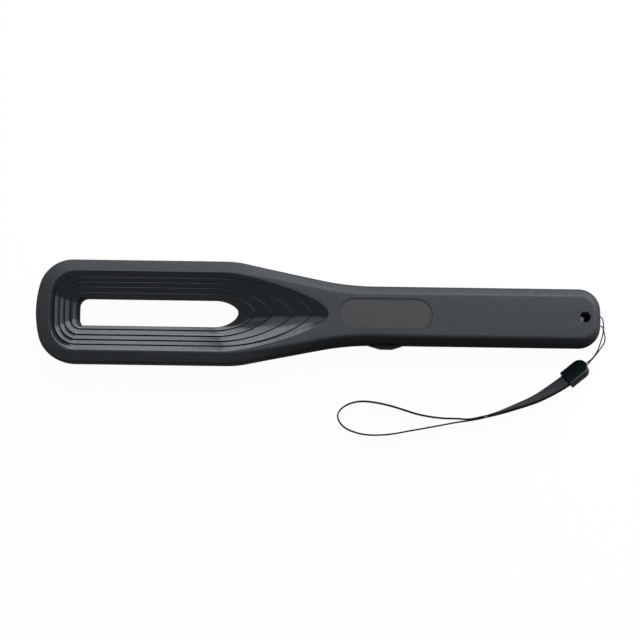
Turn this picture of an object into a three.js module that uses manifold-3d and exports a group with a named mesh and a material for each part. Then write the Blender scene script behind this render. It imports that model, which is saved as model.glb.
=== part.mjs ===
// Hand-held security metal detector wand in millimetres, lying on its front face.
// X runs along the wand towards the grip end, Y across it, and Z up out of the back face.
import * as THREE from "three";
import { mergeVertices } from "three/addons/utils/BufferGeometryUtils.js";
import Module from "manifold-3d";

const wasm = await Module();
wasm.setup();

// Housing: a wide search head with a through slot, a neck that narrows, and a grip
const housing = { thickness: 30, wall: 2.4, roof: 2.6, seam: 0.3, fit: 0.3 };
const head = { length: 142.1, halfWidth: 36.8, corner: 24.5, endBow: 74 };
const neck = { length: 78.3, startBlend: 73, endBlend: 190 };
const grip = { length: 179.6, halfWidth: 21.2, corner: 15.5, endBow: 86 };
const cutOverrun = 2;

// The bevelled edge: its width in plan, its drop, and how far the side swells out below it
const headEdge = { width: 8.3, endWidth: 10, drop: 4, swell: 0.35 };
const neckEdge = { width: 6.8 };
const gripEdge = { width: 6.7, drop: 6, swell: 2.3 };
const swellShare = 0.28;
const swellHeightShare = 0.55;

// The dished recess round the slot, with lips that step down towards the slot
const recessRim = { halfWidth: 27.8, endMargin: 10.8, corner: 18.5, lead: 9.6, tip: 64.4 };
const slotRim = { halfWidth: 10.4, endMargin: 28.7, corner: 6, lead: 16.4, tip: 1 };
const endBow = 260;
const dishDepth = 3.9;
const lip = { rise: 0.75, width: 0.55 };
const lipSideShares = [0.764, 0.568, 0.366, 0.138];
const lipEndShares = [0.825, 0.623, 0.421, 0.213];
const lipTipShares = [0.808, 0.596, 0.371, 0.188];
const lipDropShares = [0.218, 0.385, 0.551, 0.718];
const lipNoseShares = [[0.5, 0.29], [0.5, 0.3], [0.5, 0.33], [0.5, 0.45]];
const recessNoseShares = [0.2, 0.44];
const slotNoseShares = [0.55, 0.49];
const roundNoseShares = [0.5523, 0.5523];

// Places along X that the pieces share
const headEndX = -(head.length + neck.length + grip.length) / 2;
const neckStartX = headEndX + head.length;
const gripStartX = neckStartX + neck.length;
const gripEndX = gripStartX + grip.length;
const midHeight = housing.thickness / 2;
const partingHeight = midHeight + housing.seam / 2;
const floorHeight = housing.roof;

// Label recess in the back, and the blank label in it
const labelRecess = { start: -6.3, length: 65.6, halfWidth: 11.1, depth: 1 };
const labelPlate = { thickness: 0.45 };

// Screw in a deep well near the grip end
const well = { fromEnd: 12.9, radius: 3.7, wall: 1.6, depth: 16, seat: 2.2, boss: 4.4 };
const screwCrownShare = 0.7;
const caseScrew = { headRadius: 2.9, headHeight: 2.2, radius: 1.5, length: 9.5 };

// Push button on the lower side of the grip, and the switch behind it
const button = {
  centre: 27, baseLength: 24.7, topLength: 8.4, topShift: 0.6, proud: 2.4, height: 9,
  flange: 1.3, flangeLip: 1.7, travel: 1.2, postLength: 5, postReach: 0.5,
};
const sideSwitch = { length: 6, depth: 3.9, height: 4.5, plunger: 1, plungerRadius: 1.5 };

// Slide switch in a pocket of the front face
const slider = {
  centre: 45.6, padLength: 8, padWidth: 6, padHeight: 1.1, inset: 0.4, travel: 2,
  stemLength: 3, stemWidth: 2.4, flangeLength: 9.2, flangeWidth: 4.4, flangeHeight: 0.7,
};
const sliderPocket = { depth: 1.8, floor: 1.8, margin: 0.4, pad: 1.6 };
const sliderBody = { length: 12, width: 6.4 };

// Main circuit board and what it carries
const board = { start: 1.1, length: 90, halfWidth: 14, lift: 6.4, thickness: 1.6, corner: 2 };
const boardScrew = { radius: 1, headRadius: 2.1, headHeight: 1.5, length: 6, boss: 2.7, inset: 5 };
const boardScrewSide = 10.4;
const domeShares = [0.25, 0.5, 0.75, 1];
const lamp = { first: 13.6, pitch: 8, radius: 2.5, flangeRadius: 2.9, flangeHeight: 1, inset: 0.6 };
const buzzer = { centre: 67.6, radius: 6, hole: 1.2, holeDepth: 1 };
const grille = { slots: 5, width: 1.2, pitch: 2.4, reach: 6 };
const shaker = { centre: 71.6, radius: 5, height: 3.4 };
const chip = { centre: 54.7, side: 7, height: 1.2, offset: 5 };
const inductor = { centre: 41.7, radius: 4, height: 5, offset: 4 };
const plug = { length: 6, width: 7, height: 4.5, inset: 1 };
const plugSideShare = 1.5;

// Search coil in a channel round the slot
const former = { halfWidth: 30.2, endMargin: 6, corner: 20, tip: 29.6, band: 10.6, lift: 8 };
const formerWall = 1.2;
const formerFloor = 1.4;
const coil = { height: 5.6 };
const rib = { thickness: 2, sink: 1 };
const ribShares = [0.28, 0.52, 0.76];

// Rechargeable cell in its cradle, with a foam pad over it; the cell fills the room that the grip
// leaves between the board and the screw well, which is 65 long at the real size
const cell = { radius: 9.1, cap: 3, capHeight: 1.2, rim: 1.5 };
const cradle = { wall: 1.4, halfWidth: 10.6, height: 9.1, boardGap: 1.6 };
const pad = { halfWidth: 6 };
const padLengthShare = 0.55;

// Charging socket in the end wall, on its own small board
const chargePort = { offset: 8.6, width: 9, height: 3.2, depth: 6.7, lift: 8.2, shell: 0.4, setBack: 3.2 };
const chargeBoard = { length: 12, near: 5.9, far: 15, thickness: 1.6, post: 2 };

// Snap tabs that hold the two covers together
const tab = { length: 10, thickness: 1.2, gap: 0.4, root: 4, reach: 3.6, bite: 0.9 };
const tabLeanShare = 0.42;
const headTabShares = [0.36, 0.68];
const gripTabShares = [0.32, 0.8];

// Wires inside: from the coil, the cell and the charging board to the main board
const wire = { radius: 0.8, sides: 8, sway: 2.6 };
const coilLeadShares = [0.15, 0.4, 0.65, 0.88];
const coilLeadSwayShares = [0, 1, -1, 0];

// Lanyard: string through two holes in the end wall, clip, and a webbing loop
const eyelet = { offset: -1.6, spacing: 6.5, width: 2.6, height: 3 };
const cord = { radius: 0.45, sides: 8, steps: 76 };
const clip = { length: 18.7, width: 12.6, height: 7, bevel: 1.2, round: 5.9 };
const clipPlace = { x: 184.4, y: -37.4, z: 6.5, heading: 39.3, roll: 35 };
const clipBore = { width: 10.8, height: 3.5, end: 3.8, slotWidth: 3.4, slotHeight: 1.8 };
const webbing = { width: 10, thickness: 1, layers: 1.5, insert: 5.8, steps: 80 };

// Points per stretch of half an outline, from the middle of the head's end to that of the grip's
const stretch = { end: 3, corner: 6, side: 1, start: 3, slant: 4, blend: 3, grip: 2, butt: 5, tail: 2 };

// Solids: a closed geometry becomes a manifold, whichever way its faces first point
function solidOf(geometry) {
  const bare = new THREE.BufferGeometry();
  bare.setAttribute("position", geometry.getAttribute("position").clone());
  if (geometry.index) bare.setIndex(geometry.index);
  const merged = mergeVertices(bare);
  const corners = merged.index.array;
  const vertProperties = merged.getAttribute("position").array;
  if (signedVolume(vertProperties, corners) < 0) {
    for (let i = 0; i < corners.length; i += 3) {
      [corners[i + 1], corners[i + 2]] = [corners[i + 2], corners[i + 1]];
    }
  }
  const triVerts = new Uint32Array(corners);
  return new wasm.Manifold(new wasm.Mesh({ numProp: 3, vertProperties, triVerts }));
}

function signedVolume(points, corners) {
  const [a, b, c] = [new THREE.Vector3(), new THREE.Vector3(), new THREE.Vector3()];
  let sum = 0;
  for (let i = 0; i < corners.length; i += 3) {
    a.fromArray(points, corners[i] * 3);
    b.fromArray(points, corners[i + 1] * 3);
    c.fromArray(points, corners[i + 2] * 3);
    sum += a.dot(b.cross(c));
  }
  return sum;
}

function geometryOf(solid) {
  const mesh = solid.getMesh();
  const points = new Float32Array(mesh.numVert * 3);
  for (let i = 0; i < mesh.numVert; i++) {
    points.set(mesh.vertProperties.subarray(i * mesh.numProp, i * mesh.numProp + 3), i * 3);
  }
  const geometry = new THREE.BufferGeometry();
  geometry.setAttribute("position", new THREE.BufferAttribute(points, 3));
  geometry.setIndex(new THREE.BufferAttribute(new Uint32Array(mesh.triVerts), 1));
  geometry.computeVertexNormals();
  return geometry;
}

const joined = (first, ...others) => others.reduce((whole, piece) => whole.add(piece), first);
const cutBy = (first, ...others) => others.reduce((whole, piece) => whole.subtract(piece), first);

// A block from its lowest corner to its highest
function block(low, high) {
  const size = high.map((value, axis) => value - low[axis]);
  const centre = high.map((value, axis) => (value + low[axis]) / 2);
  return solidOf(new THREE.BoxGeometry(...size).translate(...centre));
}

// A block centred on x and y, from one height to another
function blockAt(x, y, length, width, bottom, top) {
  return block([x - length / 2, y - width / 2, bottom], [x + length / 2, y + width / 2, top]);
}

// An upright cylinder
function post(x, y, radius, bottom, top, sides = 20) {
  const shape = new THREE.CylinderGeometry(radius, radius, top - bottom, sides);
  return solidOf(shape.rotateX(Math.PI / 2).translate(x, y, (top + bottom) / 2));
}

// A body turned about an upright axis from [radius, height] pairs
function turned(x, y, pairs, sides = 16) {
  const profile = pairs.map(([radius, height]) => new THREE.Vector2(radius, height));
  return solidOf(new THREE.LatheGeometry(profile, sides).rotateX(Math.PI / 2).translate(x, y, 0));
}

// A flat outline raised from one height to another
function plate(points, bottom, top) {
  const shape = new THREE.Shape(points.map(([x, y]) => new THREE.Vector2(x, y)));
  const raised = new THREE.ExtrudeGeometry(shape, { depth: top - bottom, bevelEnabled: false });
  return solidOf(raised.translate(0, 0, bottom));
}

// A round tube of some sides along a curve
function tube(curve, radius, sides, steps) {
  const shape = new THREE.Shape();
  for (let i = 0; i < sides; i++) {
    const turn = (i / sides) * Math.PI * 2;
    const point = [Math.cos(turn) * radius, Math.sin(turn) * radius];
    if (i) shape.lineTo(...point);
    else shape.moveTo(...point);
  }
  return solidOf(new THREE.ExtrudeGeometry(shape, { extrudePath: curve, steps, bevelEnabled: false }));
}

// Blends from 0 to 1 between two places
const ease = (x, from, to) => THREE.MathUtils.smoothstep(x, from, to);

// Points of an arc after its first one; angles run from the X axis
function arcPoints(x, y, radius, from, to, steps) {
  return Array.from({ length: steps }, (_, i) => {
    const turn = from + ((to - from) * (i + 1)) / steps;
    return [x + radius * Math.cos(turn), y + radius * Math.sin(turn)];
  });
}

// The bowed end and rounded corner of an outline, from its middle to the end of the corner
function bowedEnd(endX, halfWidth, corner, bow, endSteps, cornerSteps) {
  const bowX = endX + bow;
  const drop = halfWidth - corner;
  const cornerX = bowX - Math.sqrt((bow - corner) ** 2 - drop ** 2);
  const meet = Math.PI - Math.asin(drop / (bow - corner));
  return [
    [endX, 0],
    ...arcPoints(bowX, 0, bow, Math.PI, meet, endSteps),
    ...arcPoints(cornerX, drop, corner, meet, Math.PI / 2, cornerSteps),
  ];
}

// Half the housing's outline, inset everywhere by the same amount
function housingHalf(inset) {
  const slope = Math.atan((head.halfWidth - grip.halfWidth) / neck.length);
  const shift = inset * Math.tan(slope / 2);
  const headY = head.halfWidth - inset;
  const gripY = grip.halfWidth - inset;
  const startBlend = neck.startBlend - inset;
  const endBlend = neck.endBlend + inset;
  const startX = neckStartX - shift - startBlend * Math.tan(slope / 2);
  const endX = gripStartX - shift + endBlend * Math.tan(slope / 2);
  const start = bowedEnd(
    headEndX + inset, headY, head.corner - inset, head.endBow - inset, stretch.end, stretch.corner,
  );
  const butt = bowedEnd(
    -gripEndX + inset, gripY, grip.corner - inset, grip.endBow - inset, stretch.tail, stretch.butt,
  );
  const upright = Math.PI / 2;
  const startArc = arcPoints(
    startX, headY - startBlend, startBlend, upright, upright - slope, stretch.start,
  );
  const endArc = arcPoints(
    endX, gripY + endBlend, endBlend, -upright - slope, -upright, stretch.blend,
  );
  const slantFrom = startArc.at(-1);
  const slantTo = [endX - endBlend * Math.sin(slope), gripY + endBlend * (1 - Math.cos(slope))];
  const buttPoints = butt.reverse().map(([x, y]) => [-x, y]);
  return [
    ...start,
    [startX, headY],
    ...startArc,
    ...spread(slantFrom, slantTo, stretch.slant),
    ...endArc,
    ...spread([endX, gripY], buttPoints[0], stretch.grip),
    ...buttPoints.slice(1),
  ];
}

// Evenly spaced points of a straight stretch after its first one
function spread(from, to, steps) {
  return Array.from({ length: steps }, (_, i) => {
    const share = (i + 1) / steps;
    return [from[0] + (to[0] - from[0]) * share, from[1] + (to[1] - from[1]) * share];
  });
}

// The rest of a band's half outline: from its side to a tip on the axis, as one Bezier curve
const noseSteps = stretch.blend + stretch.grip + stretch.butt + stretch.tail;
const solveShare = 1e-7;
const noseStartShare = 0.777;
const startShares = [0.065, 0.13, 0.195];
const slantShares = [0.34, 0.486, 0.63, noseStartShare];

function nosePoints(startX, halfWidth, tipX, [lead, fullness]) {
  const at = (t) => {
    const [a, b, c, d] = [(1 - t) ** 3, 3 * t * (1 - t) ** 2, 3 * t * t * (1 - t), t ** 3];
    const x = startX * a + (startX + lead * (tipX - startX)) * b + tipX * (c + d);
    return [x, halfWidth * (a + b + fullness * c)];
  };
  const whereX = (x) => {
    let [low, high] = [0, 1];
    while (high - low > solveShare) {
      const middle = (low + high) / 2;
      if (at(middle)[0] < x) low = middle;
      else high = middle;
    }
    return low;
  };
  const times = [...startShares, ...slantShares].map((share) => whereX(startX + share * (tipX - startX)));
  const from = times.at(-1);
  const nose = Array.from({ length: noseSteps }, (_, i) => from + ((1 - from) * (i + 1)) / noseSteps);
  return [...times, ...nose].map((t) => at(t));
}

// Half the outline of a band round the slot, grown outwards by some amount
function bandHalf(band, grow = 0) {
  const halfWidth = band.halfWidth + grow;
  const endX = headEndX + band.endMargin - grow;
  const startX = neckStartX - band.lead;
  const tipX = neckStartX + band.tip + grow;
  return [
    ...bowedEnd(endX, halfWidth, band.corner + grow, endBow, stretch.end, stretch.corner),
    [startX, halfWidth],
    ...nosePoints(startX, halfWidth, tipX, band.noseShares),
  ];
}

// A half outline with its mirror image as one loop, each point at the height given for it
function loopOf(half, heightOf) {
  const upper = half.map(([x, y], i) => [x, y, heightOf(i)]);
  upper[0][1] = 0;
  upper.at(-1)[1] = 0;
  const lower = upper.slice(1, -1).map(([x, y, z]) => [x, -y, z]);
  return [...upper, ...lower.reverse()];
}

const stations = housingHalf(0).map(([x]) => x);

// A loop of the housing whose inset and height follow functions of the place along X
function housingLoop(insetOf, heightOf) {
  const half = stations.map((x, i) => housingHalf(insetOf(x))[i]);
  return loopOf(half, (i) => heightOf(stations[i]));
}

const bandLoop = (band, grow, height) => loopOf(bandHalf(band, grow), () => height);

// A ring-shaped body whose cross-section passes through the loops in turn
function ringBody(loops) {
  const count = loops[0].length;
  const points = new Float32Array(loops.flat(2));
  const index = [];
  loops.forEach((_, row) => {
    const next = (row + 1) % loops.length;
    for (let i = 0; i < count; i++) {
      const j = (i + 1) % count;
      const [a, b, c, d] = [row * count + i, row * count + j, next * count + j, next * count + i];
      index.push(a, b, c, a, c, d);
    }
  });
  const geometry = new THREE.BufferGeometry();
  geometry.setAttribute("position", new THREE.BufferAttribute(points, 3));
  geometry.setIndex(index);
  return solidOf(geometry);
}

// How the edge changes from the head through the neck to the grip
const edgeWidth = (x) =>
  headEdge.width +
  (headEdge.endWidth - headEdge.width) * (1 - ease(x, headEndX, headEndX + head.corner)) +
  (neckEdge.width - headEdge.width) * ease(x, neckStartX - head.corner / 2, neckStartX + neck.length / 2) +
  (gripEdge.width - neckEdge.width) * ease(x, gripStartX - neck.length / 4, gripStartX + neck.length);
const gripShare = (x) => ease(x, neckStartX - grip.corner, gripStartX - grip.corner);
const edgeDrop = (x) => THREE.MathUtils.lerp(headEdge.drop, gripEdge.drop, gripShare(x));
const sideSwell = (x) => THREE.MathUtils.lerp(headEdge.swell, gripEdge.swell, gripShare(x));

const lerp = THREE.MathUtils.lerp;
const recess = { ...recessRim, noseShares: recessNoseShares };
const slot = { ...slotRim, noseShares: slotNoseShares };
const lips = lipSideShares.map((side, i) => ({
  halfWidth: lerp(slot.halfWidth, recess.halfWidth, side),
  endMargin: lerp(slot.endMargin, recess.endMargin, lipEndShares[i]),
  corner: lerp(slot.corner, recess.corner, side),
  lead: lerp(slot.lead, recess.lead, side),
  tip: lerp(slot.tip, recess.tip, lipTipShares[i]),
  noseShares: lipNoseShares[i],
  top: housing.thickness - dishDepth * lipDropShares[i],
}));

// The back half of the housing as a full body, and the room inside it
function outerHalf() {
  const top = housing.thickness;
  const rise = (x) => top - edgeDrop(x) - partingHeight;
  const lipLoops = lips.flatMap((band) => [
    bandLoop(band, lip.width, band.top - lip.rise),
    bandLoop(band, 0, band.top),
  ]);
  return ringBody([
    housingLoop(() => 0, () => partingHeight),
    housingLoop(
      (x) => sideSwell(x) * swellShare,
      (x) => partingHeight + rise(x) * swellHeightShare,
    ),
    housingLoop(sideSwell, (x) => top - edgeDrop(x)),
    housingLoop(edgeWidth, () => top),
    bandLoop(recess, 0, top),
    ...lipLoops,
    bandLoop(slot, 0, top - dishDepth),
    bandLoop(slot, 0, partingHeight),
  ]);
}

function roomHalf(clearance = 0) {
  const wall = housing.wall + clearance;
  const ceiling = housing.thickness - housing.roof - clearance;
  const slope = (x) => Math.atan(edgeDrop(x) / (edgeWidth(x) - sideSwell(x)));
  const shoulder = (x) =>
    housing.thickness - edgeDrop(x) + wall * Math.tan(slope(x)) - wall / Math.cos(slope(x));
  const mouth = partingHeight - cutOverrun;
  return ringBody([
    bandLoop(slot, wall, mouth),
    bandLoop(slot, wall, housing.thickness - dishDepth - housing.roof - clearance),
    bandLoop(recess, 0, ceiling),
    housingLoop((x) => edgeWidth(x) + wall * Math.tan(slope(x) / 2), () => ceiling),
    housingLoop((x) => sideSwell(x) + wall, shoulder),
    housingLoop(() => wall, () => partingHeight),
    housingLoop(() => wall, () => mouth),
  ]);
}

// The same solid turned over about the parting plane, for the front half
function turnedOver(solid) {
  const mesh = solid.getMesh();
  const geometry = geometryOf(solid);
  const position = geometry.getAttribute("position");
  for (let i = 0; i < mesh.numVert; i++) position.setZ(i, housing.thickness - position.getZ(i));
  return solidOf(geometry);
}

const backBody = outerHalf();
const frontBody = turnedOver(backBody);
const backRoom = roomHalf();
const frontRoom = turnedOver(backRoom);
// Ribs and bosses are cut to end halfway through the wall that they grow from
const backReach = roomHalf(-housing.wall / 2);
const frontReach = turnedOver(backReach);

// Places that several pieces use
const wellX = gripEndX - well.fromEnd;
const wellFloor = housing.thickness - well.depth;
const bossTop = wellFloor - well.seat - housing.fit;
const buttonX = gripStartX + button.centre;
const innerY = grip.halfWidth - housing.wall;
const boardX = gripStartX + board.start;
const boardBottom = floorHeight + board.lift;
const boardTop = boardBottom + board.thickness;
const screwPlaces = [
  [boardX + boardScrew.inset, boardScrewSide],
  [boardX + boardScrew.inset, -boardScrewSide],
  [boardX + board.length - boardScrew.inset, 0],
];
const lampPlaces = [0, 1, 2].map((i) => gripStartX + lamp.first + i * lamp.pitch);
const sliderX = gripStartX + slider.centre;
const buzzerX = gripStartX + buzzer.centre;
const cradleEnd = wellX - well.radius - well.wall - housing.fit;
const cradleStart = boardX + board.length + cradle.boardGap;
const cellX = cradleStart + cradle.wall + housing.fit;
const cellLength = cradleEnd - cradle.wall - housing.fit - cellX;
const eyeletPlaces = [1, -1].map((side) => eyelet.offset + (side * eyelet.spacing) / 2);
const portX = gripEndX - chargePort.setBack - chargePort.depth;
const chargeTop = chargePort.lift - housing.fit;

// Openings that both covers share at the seam
function seamCuts() {
  const reach = button.baseLength / 2 + housing.fit;
  const side = button.height / 2 + housing.fit;
  const flangeX = reach + button.flangeLip;
  const flangeSide = side + button.flangeLip;
  const window = block(
    [buttonX - reach, -grip.halfWidth - cutOverrun, midHeight - side],
    [buttonX + reach, -innerY + housing.wall, midHeight + side],
  );
  const seat = block(
    [buttonX - flangeX, -innerY, midHeight - flangeSide],
    [buttonX + flangeX, -innerY + housing.wall + cutOverrun, midHeight + flangeSide],
  );
  const holes = eyeletPlaces.map((y) =>
    block(
      [gripEndX - housing.wall - cutOverrun, y - eyelet.width / 2, midHeight - eyelet.height / 2],
      [gripEndX + cutOverrun, y + eyelet.width / 2, midHeight + eyelet.height / 2],
    ),
  );
  return [window, seat, ...holes];
}

// Ribs across the head that hold the coil's channel between the two covers
function ribs(bottom, top) {
  const spans = ribShares.map((share) => {
    const x = headEndX + head.length * share;
    return block([x - rib.thickness / 2, -head.halfWidth, bottom], [x + rib.thickness / 2, head.halfWidth, top]);
  });
  const reach = former.endMargin + former.band;
  const end = block([headEndX, -rib.thickness / 2, bottom], [headEndX + reach, rib.thickness / 2, top]);
  return joined(end, ...spans);
}

// Each tab clears the front cover's wall, which leans in by part of the side's swell
const tabGap = (x) => tab.gap + tabLeanShare * sideSwell(x);

function snapTabs() {
  const places = [
    ...headTabShares.map((share) => [headEndX + head.length * share, head.halfWidth]),
    ...gripTabShares.map((share) => [gripStartX + grip.length * share, grip.halfWidth]),
  ];
  const tabs = places.flatMap(([x, halfWidth]) =>
    [1, -1].map((side) => {
      const face = halfWidth - housing.wall;
      const outer = (face - tabGap(x)) * side;
      const inner = (face - tabGap(x) - tab.thickness) * side;
      const anchor = (face + tab.bite) * side;
      const hang = blockAt(
        x, (outer + inner) / 2, tab.length, tab.thickness, partingHeight - tab.reach, partingHeight + tab.root,
      );
      const root = blockAt(
        x, (anchor + inner) / 2, tab.length, Math.abs(anchor - inner), partingHeight, partingHeight + tab.root,
      );
      return hang.add(root);
    }),
  );
  return joined(...tabs);
}

// A stadium outline with round ends
function stadium(startX, length, halfWidth, steps = 12) {
  const right = startX + length - halfWidth;
  const left = startX + halfWidth;
  return [
    [right, -halfWidth],
    ...arcPoints(right, 0, halfWidth, -Math.PI / 2, Math.PI / 2, steps),
    [left, halfWidth],
    ...arcPoints(left, 0, halfWidth, Math.PI / 2, (Math.PI * 3) / 2, steps).slice(0, -1),
    [left, -halfWidth],
  ];
}

function rearCover() {
  const shell = backBody.subtract(backRoom);
  const formerTop = floorToFormer() + formerFloor + coil.height + 2 * housing.fit;
  const holdDown = ribs(formerTop + housing.fit, housing.thickness).intersect(backReach);
  const tubeBottom = wellFloor - well.seat;
  const wellTube = post(wellX, 0, well.radius + well.wall, tubeBottom, housing.thickness - rib.sink);
  const whole = joined(shell, holdDown, wellTube, snapTabs());
  const recessTop = housing.thickness + cutOverrun;
  return cutBy(
    whole,
    post(wellX, 0, well.radius, wellFloor, recessTop, 24),
    post(wellX, 0, caseScrew.radius + housing.fit, tubeBottom - cutOverrun, recessTop),
    plate(
      stadium(gripStartX + labelRecess.start, labelRecess.length, labelRecess.halfWidth),
      housing.thickness - labelRecess.depth,
      recessTop,
    ),
    ...seamCuts(),
  );
}

const floorToFormer = () => former.lift;

function frontCover() {
  const shell = frontBody.subtract(frontRoom);
  const support = ribs(0, former.lift - housing.fit);
  const bosses = screwPlaces.map(([x, y]) => post(x, y, boardScrew.boss, 0, boardBottom - housing.fit));
  const wellBoss = post(wellX, 0, well.boss, 0, bossTop);
  const pocketHalf = slider.padLength / 2 + slider.travel + sliderPocket.margin;
  const pocketWidth = slider.padWidth + 2 * sliderPocket.margin;
  const pocketRoof = sliderPocket.depth + sliderPocket.floor;
  const thickening = blockAt(
    sliderX, 0, 2 * (pocketHalf + sliderPocket.pad), pocketWidth + 2 * sliderPocket.pad, 0, pocketRoof,
  );
  const chargeRest = blockAt(
    wellX, (chargeBoard.near + chargePort.offset) / 2, chargeBoard.post,
    chargePort.offset - chargeBoard.near, 0, chargeTop - chargeBoard.thickness - housing.fit,
  );
  const added = joined(support, ...bosses, wellBoss, thickening, chargeRest).intersect(frontReach);
  const pilots = screwPlaces.map(([x, y]) =>
    post(x, y, boardScrew.radius + housing.fit, floorHeight, boardBottom, 12),
  );
  const stemSlot = blockAt(
    sliderX, 0, slider.stemLength + 2 * (slider.travel + housing.fit),
    slider.stemWidth + 2 * housing.fit, 0, pocketRoof + cutOverrun,
  );
  const port = block(
    [portX - housing.fit, chargePort.offset - chargePort.width / 2 - housing.fit, chargePort.lift - housing.fit],
    [
      gripEndX + cutOverrun,
      chargePort.offset + chargePort.width / 2 + housing.fit,
      chargePort.lift + chargePort.height + housing.fit,
    ],
  );
  return cutBy(
    shell.add(added),
    ...pilots,
    post(wellX, 0, caseScrew.radius + housing.fit, floorHeight, bossTop + cutOverrun),
    blockAt(sliderX, 0, 2 * pocketHalf, pocketWidth, -cutOverrun, sliderPocket.depth),
    stemSlot,
    ...lampPlaces.map((x) => post(x, 0, lamp.radius + housing.fit, -cutOverrun, floorHeight + cutOverrun)),
    ...grilleCuts(),
    port,
    ...seamCuts(),
  );
}

// Sound slots over the buzzer, shorter towards the sides of a circle
function grilleCuts() {
  return Array.from({ length: grille.slots }, (_, i) => {
    const y = (i - (grille.slots - 1) / 2) * grille.pitch;
    const half = Math.sqrt(grille.reach ** 2 - y ** 2);
    return blockAt(buzzerX, y, 2 * half, grille.width, -cutOverrun, floorHeight + cutOverrun);
  });
}

function label() {
  const length = labelRecess.length - 2 * housing.fit;
  const start = gripStartX + labelRecess.start + housing.fit;
  const bottom = housing.thickness - labelRecess.depth + housing.fit;
  return plate(
    stadium(start, length, labelRecess.halfWidth - housing.fit), bottom, bottom + labelPlate.thickness,
  );
}

// A pan-head screw: its head's underside sits at a height, and its shank points down
function screw(x, y, seat, size, sides = 12) {
  return turned(x, y, [
    [0, seat - size.length],
    [size.radius, seat - size.length + size.radius],
    [size.radius, seat],
    [size.headRadius, seat],
    [size.headRadius, seat + size.headHeight / 2],
    [size.headRadius * screwCrownShare, seat + size.headHeight],
    [0, seat + size.headHeight],
  ], sides);
}

// Search coil and the channel that carries it, as bands round the slot
const formerBand = {
  halfWidth: former.halfWidth, endMargin: former.endMargin, corner: former.corner,
  lead: slotRim.lead, tip: former.tip, noseShares: roundNoseShares,
};

function coilFormer() {
  const bottom = floorToFormer();
  const deck = bottom + formerFloor;
  const top = deck + coil.height + 2 * housing.fit;
  const innerWall = formerWall - former.band;
  return ringBody([
    bandLoop(formerBand, 0, bottom),
    bandLoop(formerBand, 0, top),
    bandLoop(formerBand, -formerWall, top),
    bandLoop(formerBand, -formerWall, deck),
    bandLoop(formerBand, innerWall, deck),
    bandLoop(formerBand, innerWall, top),
    bandLoop(formerBand, -former.band, top),
    bandLoop(formerBand, -former.band, bottom),
  ]);
}

function searchCoil() {
  const outer = -formerWall - housing.fit;
  const inner = formerWall + housing.fit - former.band;
  const bottom = floorToFormer() + formerFloor + housing.fit;
  const top = bottom + coil.height;
  return ringBody([
    bandLoop(formerBand, outer, bottom),
    bandLoop(formerBand, outer, top),
    bandLoop(formerBand, inner, top),
    bandLoop(formerBand, inner, bottom),
  ]);
}

// The board with its chip, inductor and wire sockets soldered on
function circuitBoard() {
  const middle = boardX + board.length / 2;
  const sheet = blockAt(middle, 0, board.length, 2 * board.halfWidth, boardBottom, boardTop);
  const sunk = boardTop - board.thickness / 2;
  const parts = [
    blockAt(gripStartX + chip.centre, chip.offset, chip.side, chip.side, sunk, boardTop + chip.height),
    post(gripStartX + inductor.centre, inductor.offset, inductor.radius, sunk, boardTop + inductor.height, 16),
    blockAt(boardX + plug.inset + plug.length / 2, 0, plug.length, plug.width, sunk, boardTop + plug.height),
    blockAt(
      boardX + board.length - plug.inset - plug.length / 2, -plug.width, plug.length, plug.width,
      sunk, boardTop + plug.height,
    ),
    blockAt(
      boardX + board.length - plug.inset - plug.length / 2, plug.width, plug.length, plug.width,
      sunk, boardTop + plug.height,
    ),
  ];
  const holes = screwPlaces.map(([x, y]) =>
    post(x, y, boardScrew.radius + housing.fit, boardBottom - cutOverrun, boardTop + cutOverrun, 12),
  );
  return cutBy(joined(sheet, ...parts), ...holes);
}

// A domed lamp that points down through the front face
function statusLamp(x) {
  const top = boardBottom - housing.fit;
  const domeBase = lamp.inset + lamp.radius;
  const dome = domeShares.map((share) => {
    const turn = (share * Math.PI) / 2;
    return [lamp.radius * Math.sin(turn), domeBase - lamp.radius * Math.cos(turn)];
  });
  return turned(x, 0, [
    [0, lamp.inset],
    ...dome,
    [lamp.radius, top - lamp.flangeHeight],
    [lamp.flangeRadius, top - lamp.flangeHeight],
    [lamp.flangeRadius, top],
    [0, top],
  ]);
}

function buzzerCan() {
  const bottom = floorHeight + housing.fit;
  const can = post(buzzerX, 0, buzzer.radius, bottom, boardBottom - housing.fit, 24);
  return can.subtract(post(buzzerX, 0, buzzer.hole, bottom - cutOverrun, bottom + buzzer.holeDepth, 12));
}

function vibrationMotor() {
  const bottom = boardTop + housing.fit;
  return post(gripStartX + shaker.centre, 0, shaker.radius, bottom, bottom + shaker.height, 20);
}

// The side button: a body with ramped ends, a flange inside the wall, and a post to the switch
function sideButton() {
  const surface = -grip.halfWidth;
  const base = button.baseLength / 2;
  const crown = button.topLength / 2;
  const low = midHeight - button.height / 2;
  const high = midHeight + button.height / 2;
  const seatY = -innerY + housing.fit;
  const body = plate([
    [buttonX - base, seatY],
    [buttonX - base, surface],
    [buttonX - crown + button.topShift, surface - button.proud],
    [buttonX + crown + button.topShift, surface - button.proud],
    [buttonX + base, surface],
    [buttonX + base, seatY],
  ], low, high);
  const flange = blockAt(
    buttonX, seatY + button.flange / 2, button.baseLength + 2 * button.flangeLip, button.flange,
    low - button.flangeLip, high + button.flangeLip,
  );
  const push = blockAt(
    buttonX, seatY + (button.flange + button.postReach) / 2, button.postLength,
    button.flange + button.postReach, switchBottom(), switchBottom() + sideSwitch.height,
  );
  return joined(body, flange, push);
}

const switchBottom = () => boardTop + housing.fit;

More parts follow.
